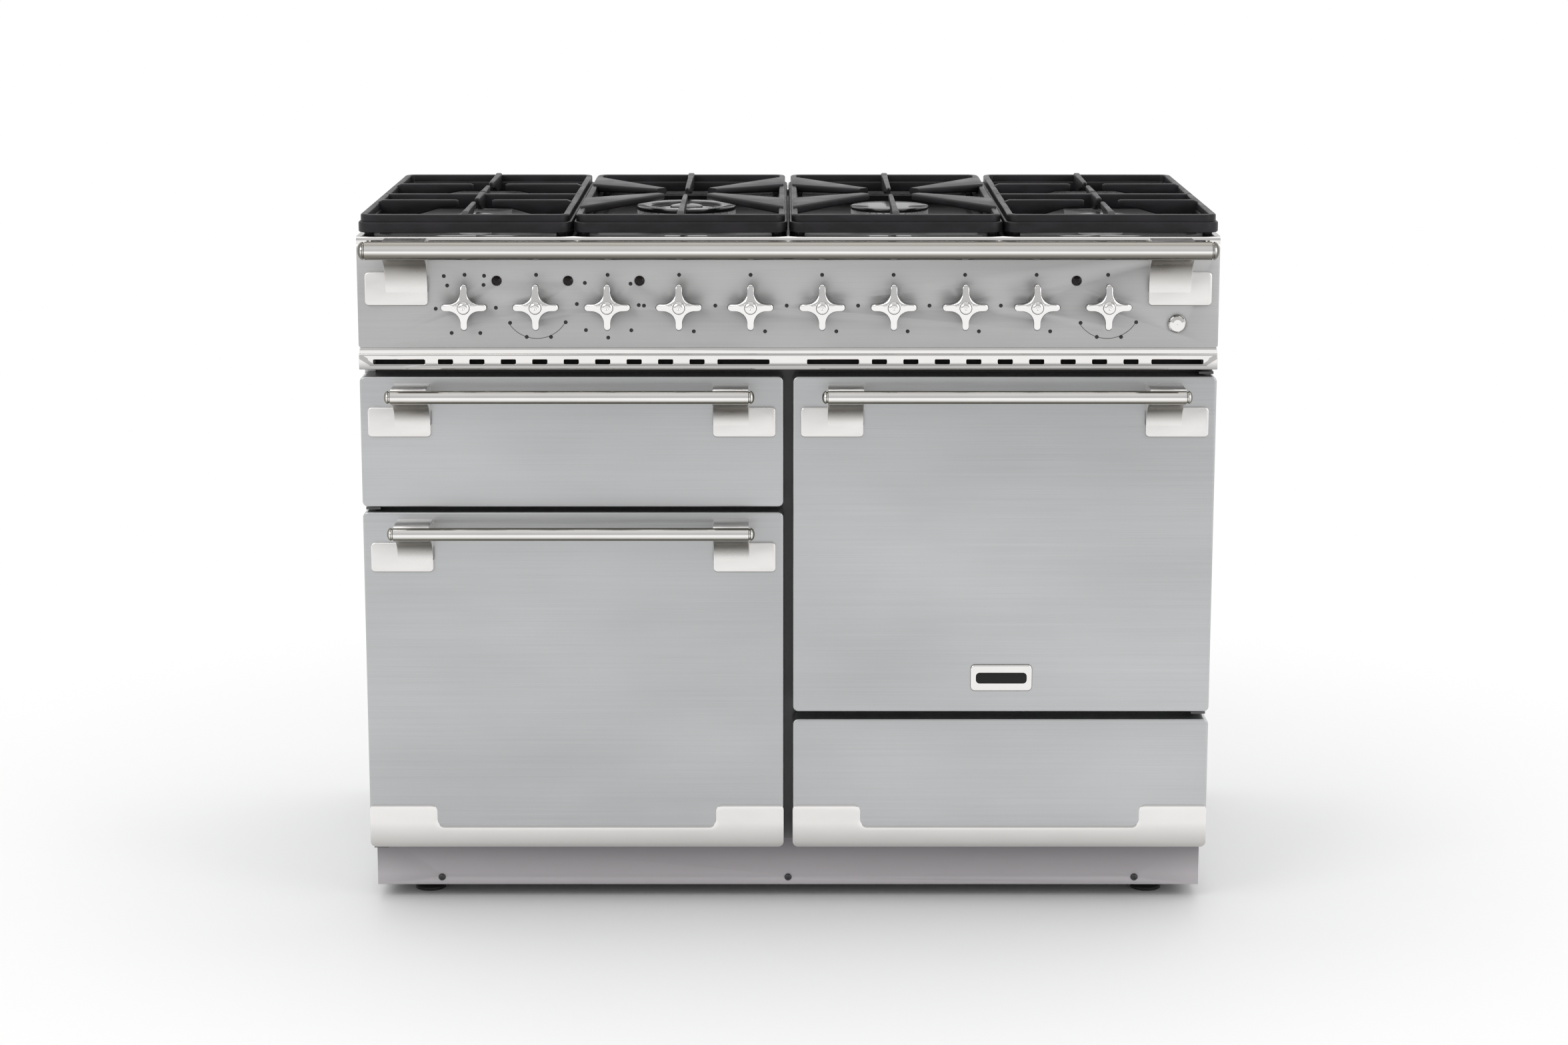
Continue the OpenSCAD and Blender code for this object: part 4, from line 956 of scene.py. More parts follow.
@dataclass
class FootTrim:
    """The polished trim along the foot of a front, raised at its two corners."""

    body: str
    lo: Vector
    hi: Vector
    strip: float = 28 * MM
    raised: float = 57 * MM
    corner_width: float = 88 * MM
    fillet: float = 9 * MM
    edge_radius: float = 7 * MM
    proud: float = 1.0 * MM
    lip: float = 0.3  # share of how far it stands proud
    crown_w: float = 6.2 * MM
    crown_rings: int = 8
    arc_points: int = 8

    def arc(self, x: float, z: float, start: float, sweep: float, radius: float) -> np.ndarray:
        """Points of an arc about a centre, with its angles in degrees."""
        turn = np.radians(np.linspace(start, start + sweep, self.arc_points))
        return np.stack([x + radius * np.cos(turn), z + radius * np.sin(turn)], axis=-1)

    def half(self) -> np.ndarray:
        """Right half of the outline, from the foot up.

        Returns:
            Points in x and z, measured from the lower right corner.
        """
        inner = -self.corner_width
        r, e = self.fillet, self.edge_radius
        return np.concatenate([
            self.arc(-e, e, -90, 90, e),
            self.arc(-e, self.raised - e, 0, 90, e),
            self.arc(inner + r, self.raised - r, 90, 90, r),
            self.arc(inner - r, self.strip + r, 0, -90, r),
        ])

    def build(self, name: str, wardrobe: Wardrobe) -> bpy.types.Object:
        """Makes the trim, which stands slightly proud of the front.

        Its face rises from its lip, a share of the full height, along a parabola, so that it
        shines evenly.

        Args:
            name: Name of the piece.
            wardrobe: The finishes.

        Returns:
            The piece.
        """
        right = self.half()
        left = right[::-1] * [-1, 1]
        outline = np.concatenate([
            right + [self.hi.x, self.lo.z], left + [self.lo.x, self.lo.z],
        ])
        rings = [place(outline, self.lo.y + self.proud, Axis.Y)]
        for share in np.linspace(0, 1, self.crown_rings):
            rise = self.proud * (self.lip + (1 - self.lip) * (1 - (1 - share) ** 2))
            rings.append(place(inset(outline, self.crown_w * share), self.lo.y - rise, Axis.Y))
        thing = Shell().loft(np.stack(rings)).build(name)
        # Its finish paints a shade towards the trim's foot.
        return wardrobe.dress(thing, "trim_chrome_painted_shade", self.body, slot="polished_chrome")


@dataclass
class BarePlate:
    """The framed plate low on the right oven door, without any lettering."""

    body: str
    centre: tuple[float, float]
    front: float
    size: tuple[float, float] = (80 * MM, 35 * MM)
    window: tuple[float, float] = (66 * MM, 14.5 * MM)
    corner: float = 6 * MM
    window_corner: float = 5 * MM
    rise: float = 2.4 * MM
    rim: float = 1.8 * MM
    seat: float = 0.3 * MM

    def outline(self, size: tuple[float, float], corner: float) -> np.ndarray:
        """A rounded rectangle about the plate's centre.

        Args:
            size: Its width and height.
            corner: The radius of its corners.

        Returns:
            The points round it.
        """
        x, z = self.centre
        return rounded_outline(
            (x - size[0] / 2, z - size[1] / 2), (x + size[0] / 2, z + size[1] / 2), corner
        )

    def build(self, wardrobe: Wardrobe) -> None:
        """Makes the polished frame and the dark field in it, which lies slightly proud.

        Args:
            wardrobe: The finishes.
        """
        face = self.front - self.rise
        frame = Shell().slab(
            self.outline(self.size, self.corner), (self.front + self.seat, face), Axis.Y,
            self.rim, steps=5,
        )
        wardrobe.dress(frame.build("plate_frame"), "polished_chrome", self.body)
        dark = Shell().slab(
            self.outline(self.window, self.window_corner), (face + self.seat, face - self.seat),
            Axis.Y, self.seat / 2,
        )
        wardrobe.dress(dark.build("plate_field"), "badge_black", self.body, slot="lamp_lens")


# ---------------------------------------------------------------- handles


@dataclass
class CastEnd:
    """A handle's cast end: a foot plate and an arm that sweeps out of it to the back of the bar."""

    face: float
    plate_x: tuple[float, float]
    plate_z: tuple[float, float]
    arm_x: tuple[float, float]
    bar: tuple[float, float]
    bar_radius: float
    ring: float = 1.9 * MM
    nose: float = 3 * MM
    nose_points: int = 6
    plate_t: float = 6 * MM
    plate_corner: float = 5 * MM
    root: float = 0.4  # share of the plate's height
    sweep_points: int = 12
    soft: float = 1.4 * MM

    def add_to(self, shell: Shell) -> None:
        """Adds the cast end to a shell.

        The arm's side view runs up the face, from its root at a share of the plate's height, out
        along its flat top, down behind the bar, and back to the root on a quarter ellipse.

        Args:
            shell: The shell that it joins.
        """
        y, z = self.bar
        boss = self.bar_radius + self.ring
        plate_lo, plate_hi = zip(self.plate_x, self.plate_z)
        outline = rounded_outline(plate_lo, plate_hi, self.plate_corner)
        shell.slab(outline, (self.face - self.plate_t, self.face), Axis.Y, self.soft)
        low = self.plate_z[0] + self.root * (self.plate_z[1] - self.plate_z[0])
        under = np.radians(np.linspace(0, 90, self.sweep_points))
        reach = self.face - y
        foot_y, foot_z = self.face - self.plate_t, z - boss
        sweep = np.stack([
            foot_y - (reach - self.plate_t) * (1 - np.sin(under)),
            low + (foot_z - low) * np.cos(under),
        ], axis=-1)
        nose = np.radians(np.linspace(90, 180, self.nose_points))
        turn = np.stack([np.cos(nose), np.sin(nose)], axis=-1) * self.nose
        upper = turn + [y + self.nose, z + boss - self.nose]
        lower = turn[::-1] * [1, -1] + [y + self.nose, z - boss + self.nose]
        top = np.array([[self.face, low], [self.face, z + boss]])
        side = np.concatenate([top, upper, lower, sweep[1:]])
        shell.slab(side, self.arm_x, Axis.X, self.soft)


@dataclass
class Handle:
    """A bar with turned ends, held by two cast ends."""

    node: str
    body: str
    bar_radius: float
    bar_x: tuple[float, float]
    ends: list[CastEnd]
    groove: float = 1.0 * MM
    dome: float = 0.6  # share of the bar's radius
    dome_points: int = 9
    # The bar's finish paints dark rims and a darker lower half.
    look: str = "bar_chrome_painted_shade"

    def bar_profile(self) -> np.ndarray:
        """A domed end, whose length is a share of the radius, a fine groove and the plain bar.

        Returns:
            Rows of radius and place along the bar.
        """
        r, cut = self.bar_radius, self.groove
        dome = np.radians(np.linspace(0, 90, self.dome_points))
        start, length = self.dome * r, self.bar_x[1] - self.bar_x[0]
        end = np.concatenate([
            np.stack([r * np.sin(dome), start * (1 - np.cos(dome))], axis=-1),
            [[r - cut, start + cut], [r - cut, start + 2 * cut], [r, start + 3 * cut]],
        ])
        return np.concatenate([end, end[::-1] * [1, -1] + [0, length]])

    def build(self, wardrobe: Wardrobe) -> bpy.types.Object:
        """Makes the bar, which stands for the handle's node, and the cast ends beside it.

        Args:
            wardrobe: The finishes.

        Returns:
            The cast ends.
        """
        y, z = self.ends[0].bar
        bar = Shell().lathe(self.bar_profile(), (self.bar_x[0], y, z), Axis.X)
        wardrobe.dress(
            bar.build(self.node + "_bar"), self.look, self.body, (self.node,), "polished_chrome"
        )
        castings = Shell()
        for end in self.ends:
            end.add_to(castings)
        thing = castings.build(self.node + "_ends")
        # The castings' finish paints a shade where they look down.
        return wardrobe.dress(thing, "cast_chrome_painted_shade", self.body, slot="polished_chrome")


@dataclass
class HandleMaker:
    """Sizes of the three door handles and of the handrail."""

    face: float
    foot_inset: float = 10 * MM
    foot_w: float = 80 * MM
    foot_h: float = 38.5 * MM
    foot_drop: float = 20 * MM
    arm_w: float = 46 * MM
    bar_r: float = 8.25 * MM
    bar_out: float = 49.5 * MM
    bar_drop: float = 19 * MM
    bar_inset: float = 36.5 * MM
    rail_foot_h: float = 42.5 * MM
    rail_foot_drop: float = 45 * MM
    rail_arm_w: float = 54 * MM
    rail_r: float = 11.5 * MM
    rail_reach: float = 60 * MM
    rail_drop: float = 12.8 * MM
    rail_inset: float = 7 * MM
    rail_sink: float = 2.4 * MM

    def pair(
        self, x: tuple[float, float], foot: tuple[float, float], arm: float,
        bar: tuple[float, float], radius: float,
    ) -> list[CastEnd]:
        """The two cast ends of a handle.

        Args:
            x: The two edges that the handle spans.
            foot: Foot and top of the two foot plates.
            arm: Width of an arm.
            bar: Place of the bar's axis in y and z.
            radius: Radius of the bar as the arms hold it.

        Returns:
            The left and the right end.
        """
        left = (x[0] + self.foot_inset, x[0] + self.foot_inset + self.foot_w)
        right = (x[1] - self.foot_inset - self.foot_w, x[1] - self.foot_inset)
        arms = ((left[1] - arm, left[1]), (right[0], right[0] + arm))
        return [
            CastEnd(self.face, plate, foot, arm_x, bar, radius)
            for plate, arm_x in zip((left, right), arms)
        ]

    def door_handle(self, node: str, body: str, front: tuple[Vector, Vector]) -> Handle:
        """The handle near the top of a front.

        Args:
            node: The handle's node.
            body: The body that it rides on.
            front: The box of the front that carries it.

        Returns:
            The handle.
        """
        lo, hi = front
        bar = (self.face - self.bar_out, hi.z - self.bar_drop)
        top = bar[1] - self.foot_drop
        ends = self.pair((lo.x, hi.x), (top - self.foot_h, top), self.arm_w, bar, self.bar_r)
        span = (lo.x + self.bar_inset, hi.x - self.bar_inset)
        return Handle(node, body, self.bar_r, span, ends)

    def handrail(self, rim: Vector) -> Handle:
        """The full-width rail below the hob's rim, which sinks slightly into its cast ends.

        Args:
            rim: Highest corner of the hob's polished edge.

        Returns:
            The rail.
        """
        bar = (self.face - self.rail_reach + self.rail_r, rim.z - self.rail_drop)
        top = rim.z - self.rail_foot_drop
        foot = (top - self.rail_foot_h, top)
        held = self.rail_r - self.rail_sink
        ends = self.pair((-rim.x, rim.x), foot, self.rail_arm_w, bar, held)
        span = (-rim.x + self.rail_inset, rim.x - self.rail_inset)
        # The rail's finish paints dark rims and a darker lower half.
        return Handle("handrail", "cooker", self.rail_r, span, ends, look="rail_chrome_painted_shade")


# ---------------------------------------------------------------- controls


@dataclass
class StarKnob:
    """A knob with four arms whose sides sweep into the hub.

    Its profiles are rows of radius and height above the fascia.
    """

    TOP = np.array([[0, 26], [9, 26], [12.5, 25], [26.5, 22.5], [30.5, 21]]) * MM
    BOSS = np.array([
        [0, 6.5], [8, 6.5], [8, 27.2], [7.6, 28.2], [6.6, 29.1], [5, 29.8], [3.4, 30], [2.2, 30],
        [1.7, 29.4], [0, 29.2],
    ]) * MM
    COLLAR = np.array([[0, 6.5], [11.5, 6.5], [12.5, 7.5], [12.5, 12.5], [0, 12.5]]) * MM
    SPINDLE = np.array([[0, -24], [3, -24], [3, 7], [0, 7]]) * MM

    node: str
    body: str
    x: float
    z: float
    face: float
    reach: float = 29.5 * MM
    arm_half: float = 4.2 * MM
    flare_at: float = 21.25 * MM
    flare_r: float = 17.05 * MM
    flare_end: float = 1.2  # share of flare_at
    arm_back: float = 11.5 * MM
    back_soft: float = 1.2 * MM
    front_soft: float = 1.9 * MM
    steps: int = 256

    def outline(self, angle: np.ndarray) -> np.ndarray:
        """Radius of the star at each angle.

        The larger of two radii: where a ray leaves an arm, which is a bar with a round end, and
        where it meets the circle that the flare follows. The flare ends at a share of the
        circle's distance from the axis.

        Args:
            angle: Angles about the axis.

        Returns:
            The radii.
        """
        folded = np.abs((angle + math.pi / 4) % (math.pi / 2) - math.pi / 4)
        tip = self.reach - self.arm_half
        sine, cosine = np.sin(folded), np.cos(folded)
        inside = np.sqrt(np.maximum(self.arm_half**2 - (tip * sine) ** 2, 0))
        through_end = tip * cosine + inside
        through_side = self.arm_half / np.maximum(sine, 1e-6)
        arm = np.where(np.tan(folded) < self.arm_half / tip, through_end, through_side)
        along = self.flare_at * (cosine + sine)
        under = along**2 - (2 * self.flare_at**2 - self.flare_r**2)
        flare = np.where(under > 0, along - np.sqrt(np.maximum(under, 0)), 0)
        return np.maximum(arm, np.where(flare < self.flare_at * self.flare_end, flare, 0))

    def top(self, radius: np.ndarray) -> np.ndarray:
        """Height of the front surface: it falls from the hub to the tips of the arms."""
        return np.interp(radius, self.TOP[:, 0], self.TOP[:, 1])

    def build(self, wardrobe: Wardrobe) -> bpy.types.Object:
        """Makes the knob with its collar, boss and spindle.

        The star's rings run from the middle of its back over a bevel, up its side, round a
        quarter circle and in over the front to the hub.

        Args:
            wardrobe: The finishes.

        Returns:
            The piece.
        """
        angle = np.linspace(0, 2 * math.pi, self.steps, endpoint=False)
        edge = self.outline(angle)
        rings = [
            (np.zeros_like(edge), self.arm_back), (edge - self.back_soft, self.arm_back),
            (edge, self.arm_back + self.back_soft),
        ]
        for turn in np.radians(np.linspace(0, 90, 5)):
            radius = edge - self.front_soft * (1 - math.cos(turn))
            rings.append((radius, self.top(radius) - self.front_soft * (1 - math.sin(turn))))
        for share in (0.8, 0.6, 0.4, 0.2, 0.0):
            radius = (edge - self.front_soft) * share
            rings.append((radius, self.top(radius)))
        circle = np.stack([np.cos(angle), np.sin(angle)], axis=-1)
        centre = np.array([self.x, self.face, self.z])
        points = [
            place(radius[:, None] * circle, -np.broadcast_to(height, radius.shape), Axis.Y)
            for radius, height in rings
        ]
        shell = Shell().loft(np.stack(points) + centre, caps=False)
        for profile in (self.BOSS, self.COLLAR, self.SPINDLE):
            shell.lathe(profile, tuple(centre), Axis.Y, segments=40)
        thing = shell.build(self.node + "_star", sharp_degrees=50)
        return wardrobe.dress(thing, "knob_chrome", self.body, (self.node,))


class DialKind(Enum):
    """The plain marks round a knob: distance from its axis in mm and angle in degrees."""

    GAS = ((39.2, 90), (44.8, 180), (37.6, -61))
    OVEN = ((39.2, 90), (40.4, 213), (42.1, 252), (43.8, 294), (42.4, 330))
    FUNCTION = (
        (39.2, 90), (39.4, 177), (39.1, 1), (42.1, 228), (40.9, 270), (43.1, 313), (40.9, 135),
        (40.2, 44),
    )
    GRILL = (
        (39.2, 90), (37.6, 186), (39.0, -4), (39.2, 243), (39.7, -62), (45.9, 125), (34.0, 131),
        (45.3, 57), (35.5, 48),
    )


@dataclass
class DialMarks:
    """Plain printed dots and arcs on the fascia."""

    face: float
    root: float = 0.2 * MM
    dot: float = 2.5 * MM
    dot_edge: float = 0.1 * MM
    dot_flat: float = 0.8  # share of the dot's radius
    dot_rise: float = 0.35 * MM
    arc_r: float = 42 * MM
    arc_half: float = 0.3 * MM
    arc_rise: float = 0.25 * MM
    arc_span: tuple[float, float] = (214, 329)  # degrees
    arc_points: int = 40

    def add_dot(self, shell: Shell, x: float, z: float) -> None:
        """Adds one dot, a very flat dome whose flat top is a share of its radius.

        Args:
            shell: The shell that it joins.
            x: Its place across.
            z: Its height.
        """
        profile = np.array([
            [0, -self.root], [self.dot, -self.root], [self.dot, self.dot_edge],
            [self.dot * self.dot_flat, self.dot_rise], [0, self.dot_rise],
        ])
        shell.lathe(profile, (x, self.face, z), Axis.Y, segments=20)

    def add_arc(self, shell: Shell, x: float, z: float) -> None:
        """Adds the thin arc under an oven's knob, a flat bar bent round it.

        Args:
            shell: The shell that it joins.
            x: Place of the knob's axis across.
            z: Height of the axis.
        """
        turn = np.radians(np.linspace(*self.arc_span, self.arc_points))
        circle = np.stack([np.cos(turn), np.sin(turn)], axis=-1)
        back, front = self.face + self.root, self.face - self.arc_rise
        section = ((-1, back), (1, back), (1, front), (-1, front))
        rings = [
            place(circle * (self.arc_r + side * self.arc_half) + [x, z], depth, Axis.Y)
            for side, depth in section
        ]
        shell.loft(np.stack(rings, axis=1))

    def build(
        self, dials: list[tuple[float, float, DialKind]], wardrobe: Wardrobe
    ) -> bpy.types.Object:
        """Makes all the marks as one piece.

        Args:
            dials: Place across, height and kind of each dial.
            wardrobe: The finishes.

        Returns:
            The piece.
        """
        shell = Shell()
        for x, z, kind in dials:
            for distance, degrees in kind.value:
                out, turn = distance * MM, math.radians(degrees)
                self.add_dot(shell, x + out * math.cos(turn), z + out * math.sin(turn))
            if kind is DialKind.OVEN:
                self.add_arc(shell, x, z)
        thing = shell.build("dial_marks")
        return wardrobe.dress(thing, "dial_print", "cooker", slot="black_nylon")


# ---------------------------------------------------------------- hob


class SupportKind(Enum):
    """A pan support holds two burners, one behind the other, or one large burner."""

    DOUBLE = "double"
    SINGLE = "single"


@dataclass
class PanSupport:
    """One cast pan support: a stepped frame, fingers or broad arms, and four feet."""

    node: str
    kind: SupportKind
    lo: Vector
    hi: Vector
    front: float
    corner: float = 18 * MM
    least_corner: float = 0.5 * MM
    corner_steps: int = 8
    bar_w: float = 13 * MM
    bar_rise: float = 6 * MM
    bar_h: float = 13.5 * MM
    rib_in: float = 3 * MM
    rib_w: float = 8 * MM
    rib_drop: float = 3 * MM
    overlap: float = 2 * MM
    cross_rise: float = 3 * MM
    soft: float = 2.0 * MM
    finger_rise: float = 9 * MM
    finger_lean: float = 10 * MM
    finger_drop: float = 4 * MM
    double_tip: float = 22 * MM
    single_tip: float = 42 * MM
    arm_tip: float = 34 * MM
    arm_tip_w: float = 6 * MM
    arm_stations: int = 18
    arm_soft: float = 2.6 * MM
    foot_in: float = 14 * MM

    def ring(self, shell: Shell, margin: float, width: float, low: float, high: float) -> None:
        """Adds a closed bar round the support.

        Args:
            shell: The shell that it joins.
            margin: How far it lies in from the edge.
            width: Its width.
            low: Its underside.
            high: Its top.
        """
        sides = []
        for m in (margin, margin + width):
            lo, hi = (self.lo.x + m, self.lo.y + m), (self.hi.x - m, self.hi.y - m)
            corner = max(self.corner - m, self.least_corner)
            sides.append(rounded_outline(lo, hi, corner, self.corner_steps))
        count = len(sides[0])
        lows, highs = np.full(count, low), np.full(count, high)
        shell.bar(sides[0], sides[1], lows, highs, self.soft, closed=True)

    def half_width(self) -> float:
        """How far the fingers and arms reach sideways, into the frame."""
        return (self.hi.x - self.lo.x) / 2 - self.rib_in - self.overlap

    def finger(self, shell: Shell, root: tuple[float, float], tip: tuple[float, float]) -> None:
        """Adds a finger from the frame towards a burner.

        Its top rises out of the frame and then lies level, its underside rises in steps, and its
        width shrinks along it and rounds off on an ellipse over the last twenty-fifth.

        Args:
            shell: The shell that it joins.
            root: Where it starts.
            tip: Where it ends.
        """
        rounding, ellipse, blunt = 0.96, 0.045, 0.15  # shares of length, and of width squared
        start, end = np.array(root), np.array(tip)
        length = float(np.linalg.norm(end - start))
        way = (end - start) / length
        lean = self.finger_lean / length
        share = np.unique(np.concatenate([np.linspace(0, 1, 12), [lean, 0.97, 0.99]]))
        top, low = self.hi.z, self.lo.z + self.finger_rise
        unders = [low, low + 3 * MM, top - 11 * MM, top - 9 * MM]
        under = np.interp(share, [0, 0.5, 0.78, 1], unders)
        upper = np.interp(share, [0, lean, 1], [top - self.finger_drop, top, top])
        past = ((share - rounding) / ellipse).clip(0)
        round_tip = np.sqrt(np.clip(1 - past**2, blunt, 1))
        half = np.interp(share, [0, 0.3, 1], [4.6 * MM, 3.5 * MM, 3 * MM]) * round_tip
        middle = start + way * (share * length)[:, None]
        side = np.array([way[1], -way[0]]) * half[:, None]
        drop = (1 - round_tip) * 2 * MM
        shell.bar(middle - side, middle + side, under + drop, upper - drop, self.soft)

    def broad_arm(self, shell: Shell, centre: tuple[float, float], sx: int, sy: int) -> None:
        """Adds a broad arm whose two sides follow quadratic curves from the frame to a tip.

        Each curve is given by its start, its bend and its end, measured from the burner.

        Args:
            shell: The shell that it joins.
            centre: The burner's centre.
            sx: Which side it lies on, -1 or 1.
            sy: Whether it lies in front, -1, or behind, 1.
        """
        half = self.half_width()
        near, far = self.arm_tip - self.arm_tip_w, self.arm_tip + self.arm_tip_w
        sides = [
            ((half, 205 * MM), (62 * MM, 92 * MM), (near, far)),
            ((half, 95 * MM), (80 * MM, 54 * MM), (far, near)),
        ]
        t = np.linspace(0, 1, self.arm_stations)[:, None]
        lines = []
        for first, bend, last in sides:
            ends = (1 - t) ** 2 * np.array(first) + t**2 * np.array(last)
            curve = ends + 2 * t * (1 - t) * np.array(bend)
            lines.append(curve * [sx, sy] + centre)
        top = np.full(self.arm_stations, self.hi.z)
        thick = np.interp(t[:, 0], [0, 0.6, 1], [11 * MM, 9 * MM, 8 * MM])
        shell.bar(lines[0], lines[1], top - thick, top, self.arm_soft)

    def add_frame(self, shell: Shell) -> None:
        """Adds the two bars of the stepped frame.

        Args:
            shell: The shell that they join.
        """
        low = self.lo.z + self.bar_rise
        high = low + self.bar_h
        self.ring(shell, 0, self.bar_w, low, high)
        self.ring(shell, self.rib_in, self.rib_w, high - self.overlap, self.hi.z - self.rib_drop)

    def add_feet(self, shell: Shell) -> None:
        """Adds the four feet, each turned from rows of radius and height.

        Args:
            shell: The shell that they join.
        """
        foot = np.array([[0, 0], [5.2, 0], [6, 0.8], [6.6, 7], [0, 7]]) * MM
        for x in (self.lo.x + self.foot_in, self.hi.x - self.foot_in):
            for y in (self.lo.y + self.foot_in, self.hi.y - self.foot_in):
                shell.lathe(foot, (x, y, self.lo.z), Axis.Z, segments=20)

    def add_double(self, shell: Shell, x: float, ends: tuple[float, float]) -> None:
        """Adds the cross bar and the fingers round two burners.

        Args:
            shell: The shell that they join.
            x: Middle of the support.
            ends: Where its front and rear fingers start.
        """
        half, tip = self.half_width(), self.double_tip
        burners = (self.front + FRONT_BURNER, self.front + REAR_BURNER)
        middle = sum(burners) / 2
        cross = np.array([[x - half, middle], [x + half, middle]])
        wide = np.array([0, self.rib_w / 2])
        low = np.full(2, self.lo.z + self.bar_rise + self.cross_rise)
        high = np.full(2, self.hi.z - self.rib_drop)
        shell.bar(cross - wide, cross + wide, low, high, self.soft)
        for y, far in zip(burners, ends):
            for side in (-1, 1):
                self.finger(shell, (x + side * half, y), (x + side * tip, y))
            toward = 1 if far > y else -1
            self.finger(shell, (x, far), (x, y + toward * tip))
            self.finger(shell, (x, middle), (x, y - toward * tip))

    def add_single(self, shell: Shell, x: float, ends: tuple[float, float]) -> None:
        """Adds the four broad arms and two fingers round one large burner.

        Args:
            shell: The shell that they join.
            x: Middle of the support.
            ends: Where its front and rear fingers start.
        """
        burner = self.front + MIDDLE_BURNER
        for sx, sy in ((-1, -1), (-1, 1), (1, -1), (1, 1)):
            self.broad_arm(shell, (x, burner), sx, sy)
        for sy, far in zip((-1, 1), ends):
            self.finger(shell, (x, far), (x, burner + sy * self.single_tip))

    def build(self, wardrobe: Wardrobe) -> bpy.types.Object:
        """Makes the casting.

        Args:
            wardrobe: The finishes.

        Returns:
            The piece.
        """
        shell = Shell()
        self.add_frame(shell)
        margin = self.rib_in + self.overlap
        ends = (self.lo.y + margin, self.hi.y - margin)
        fill = self.add_double if self.kind is SupportKind.DOUBLE else self.add_single
        fill(shell, (self.lo.x + self.hi.x) / 2, ends)
        self.add_feet(shell)
        thing = shell.build(self.node + "_casting", sharp_degrees=50)
        return wardrobe.dress(thing, "cast_iron", "cooker", (self.node,))


@dataclass
class Burner:
    """A gas burner's machined body with its ring of flame slots, and its lid."""

    x: float
    y: float
    radius: float
    rim: float
    wok: bool = False
    crown_rise: float = 5 * MM
    well_depth: float = 14 * MM
    tube_r: float = 12 * MM
    tube_depth: float = 43 * MM
    waist: float = 0.8  # share of the radius
    wide_from: float = 40 * MM  # from here on it has more slots
    slot_depth: float = 4.5 * MM
    slot_points: int = 8  # points round the crown for each slot, of which so many are cut
    slot_open: int = 2
    lid_edge: float = 2.6 * MM
    lid_over: float = 1 * MM
    lid_rise: float = 3 * MM
    lid_shoulder: float = 3 * MM
    lid_dome: float = 2.2 * MM
    wok_lid: float = 21 * MM
    wok_ring_w: float = 21 * MM
    wok_ring_h: float = 6.5 * MM

    def crown(self) -> float:
        """Height of the crown's top."""
        return self.rim + self.crown_rise

    def add_body(self, shell: Shell) -> None:
        """Adds the body: a turned profile whose crown is drawn in at each slot.

        Each level is a radius, a height and whether the slots are cut there. A slot takes the
        first points of each group round the ring.

        Args:
            shell: The shell that it joins.
        """
        r, crown, well = self.radius, self.crown(), self.rim - self.well_depth
        count = (32 if r > self.wide_from else 24) * self.slot_points
        angle = np.linspace(0, 2 * math.pi, count, endpoint=False)
        cut = (np.arange(count) % self.slot_points < self.slot_open) * self.slot_depth
        levels = [
            (self.tube_r, self.rim - self.tube_depth, 0), (self.tube_r, well, 0),
            (self.waist * r, well, 0), (self.waist * r, well + 5 * MM, 0),
            (r - 6 * MM, well + 9 * MM, 0), (r, crown - 6 * MM, 0), (r, crown - 4 * MM, 0),
            (r, crown - 3.9 * MM, 1), (r, crown, 1), (r - 5 * MM, crown, 0),
        ]
        around = np.stack([np.cos(angle), np.sin(angle)], axis=-1)
        rings = [
            place(around * (radius - cut * slotted)[:, None] + [self.x, self.y], height, Axis.Z)
            for radius, height, slotted in levels
        ]
        shell.loft(np.stack(rings))

    def lid_profile(self, radius: float) -> np.ndarray:
        """A lid's flat underside, its edge, which is an arc, and its dome, a shallow parabola.

        Args:
            radius: Radius of what the lid covers; its edge stands slightly past it.

        Returns:
            Rows of radius and height.
        """
        turn = np.radians(np.linspace(-60, 90, 8))
        middle = np.array([radius + self.lid_over - self.lid_edge, self.lid_rise])
        edge = middle + self.lid_edge * np.stack([np.cos(turn), np.sin(turn)], axis=-1)
        dome_r = np.linspace(radius - self.lid_shoulder, 0, 8)
        dome = self.lid_rise + self.lid_edge + self.lid_dome * (1 - (dome_r / radius) ** 2)
        start = np.array([[0, 0], [radius - self.lid_over, 0]])
        return np.concatenate([start, edge, np.stack([dome_r, dome], axis=-1)])

    def add_lid(self, shell: Shell) -> None:
        """Adds the lid, or on the wok burner a ring-shaped lid round a small one.

        Args:
            shell: The shell that it joins.
        """
        centre = (self.x, self.y, self.crown())
        if not self.wok:
            shell.lathe(self.lid_profile(self.radius), centre, Axis.Z, segments=64)
            return
        shell.lathe(self.lid_profile(self.wok_lid), centre, Axis.Z)
        outer = self.radius + self.lid_over
        turn = np.linspace(0, 2 * math.pi, 64, endpoint=False)
        circle = np.stack([np.cos(turn), np.sin(turn)], axis=-1)
        inner, top, corner = outer - self.wok_ring_w, self.wok_ring_h, 2.4 * MM
        section = rounded_outline((inner, 0), (outer, top), corner, steps=4)
        rings = [place(circle * radius, height, Axis.Z) for radius, height in section]
        shell.loft(np.stack(rings) + np.array(centre), closed=True)


# ---------------------------------------------------------------- sheet parts


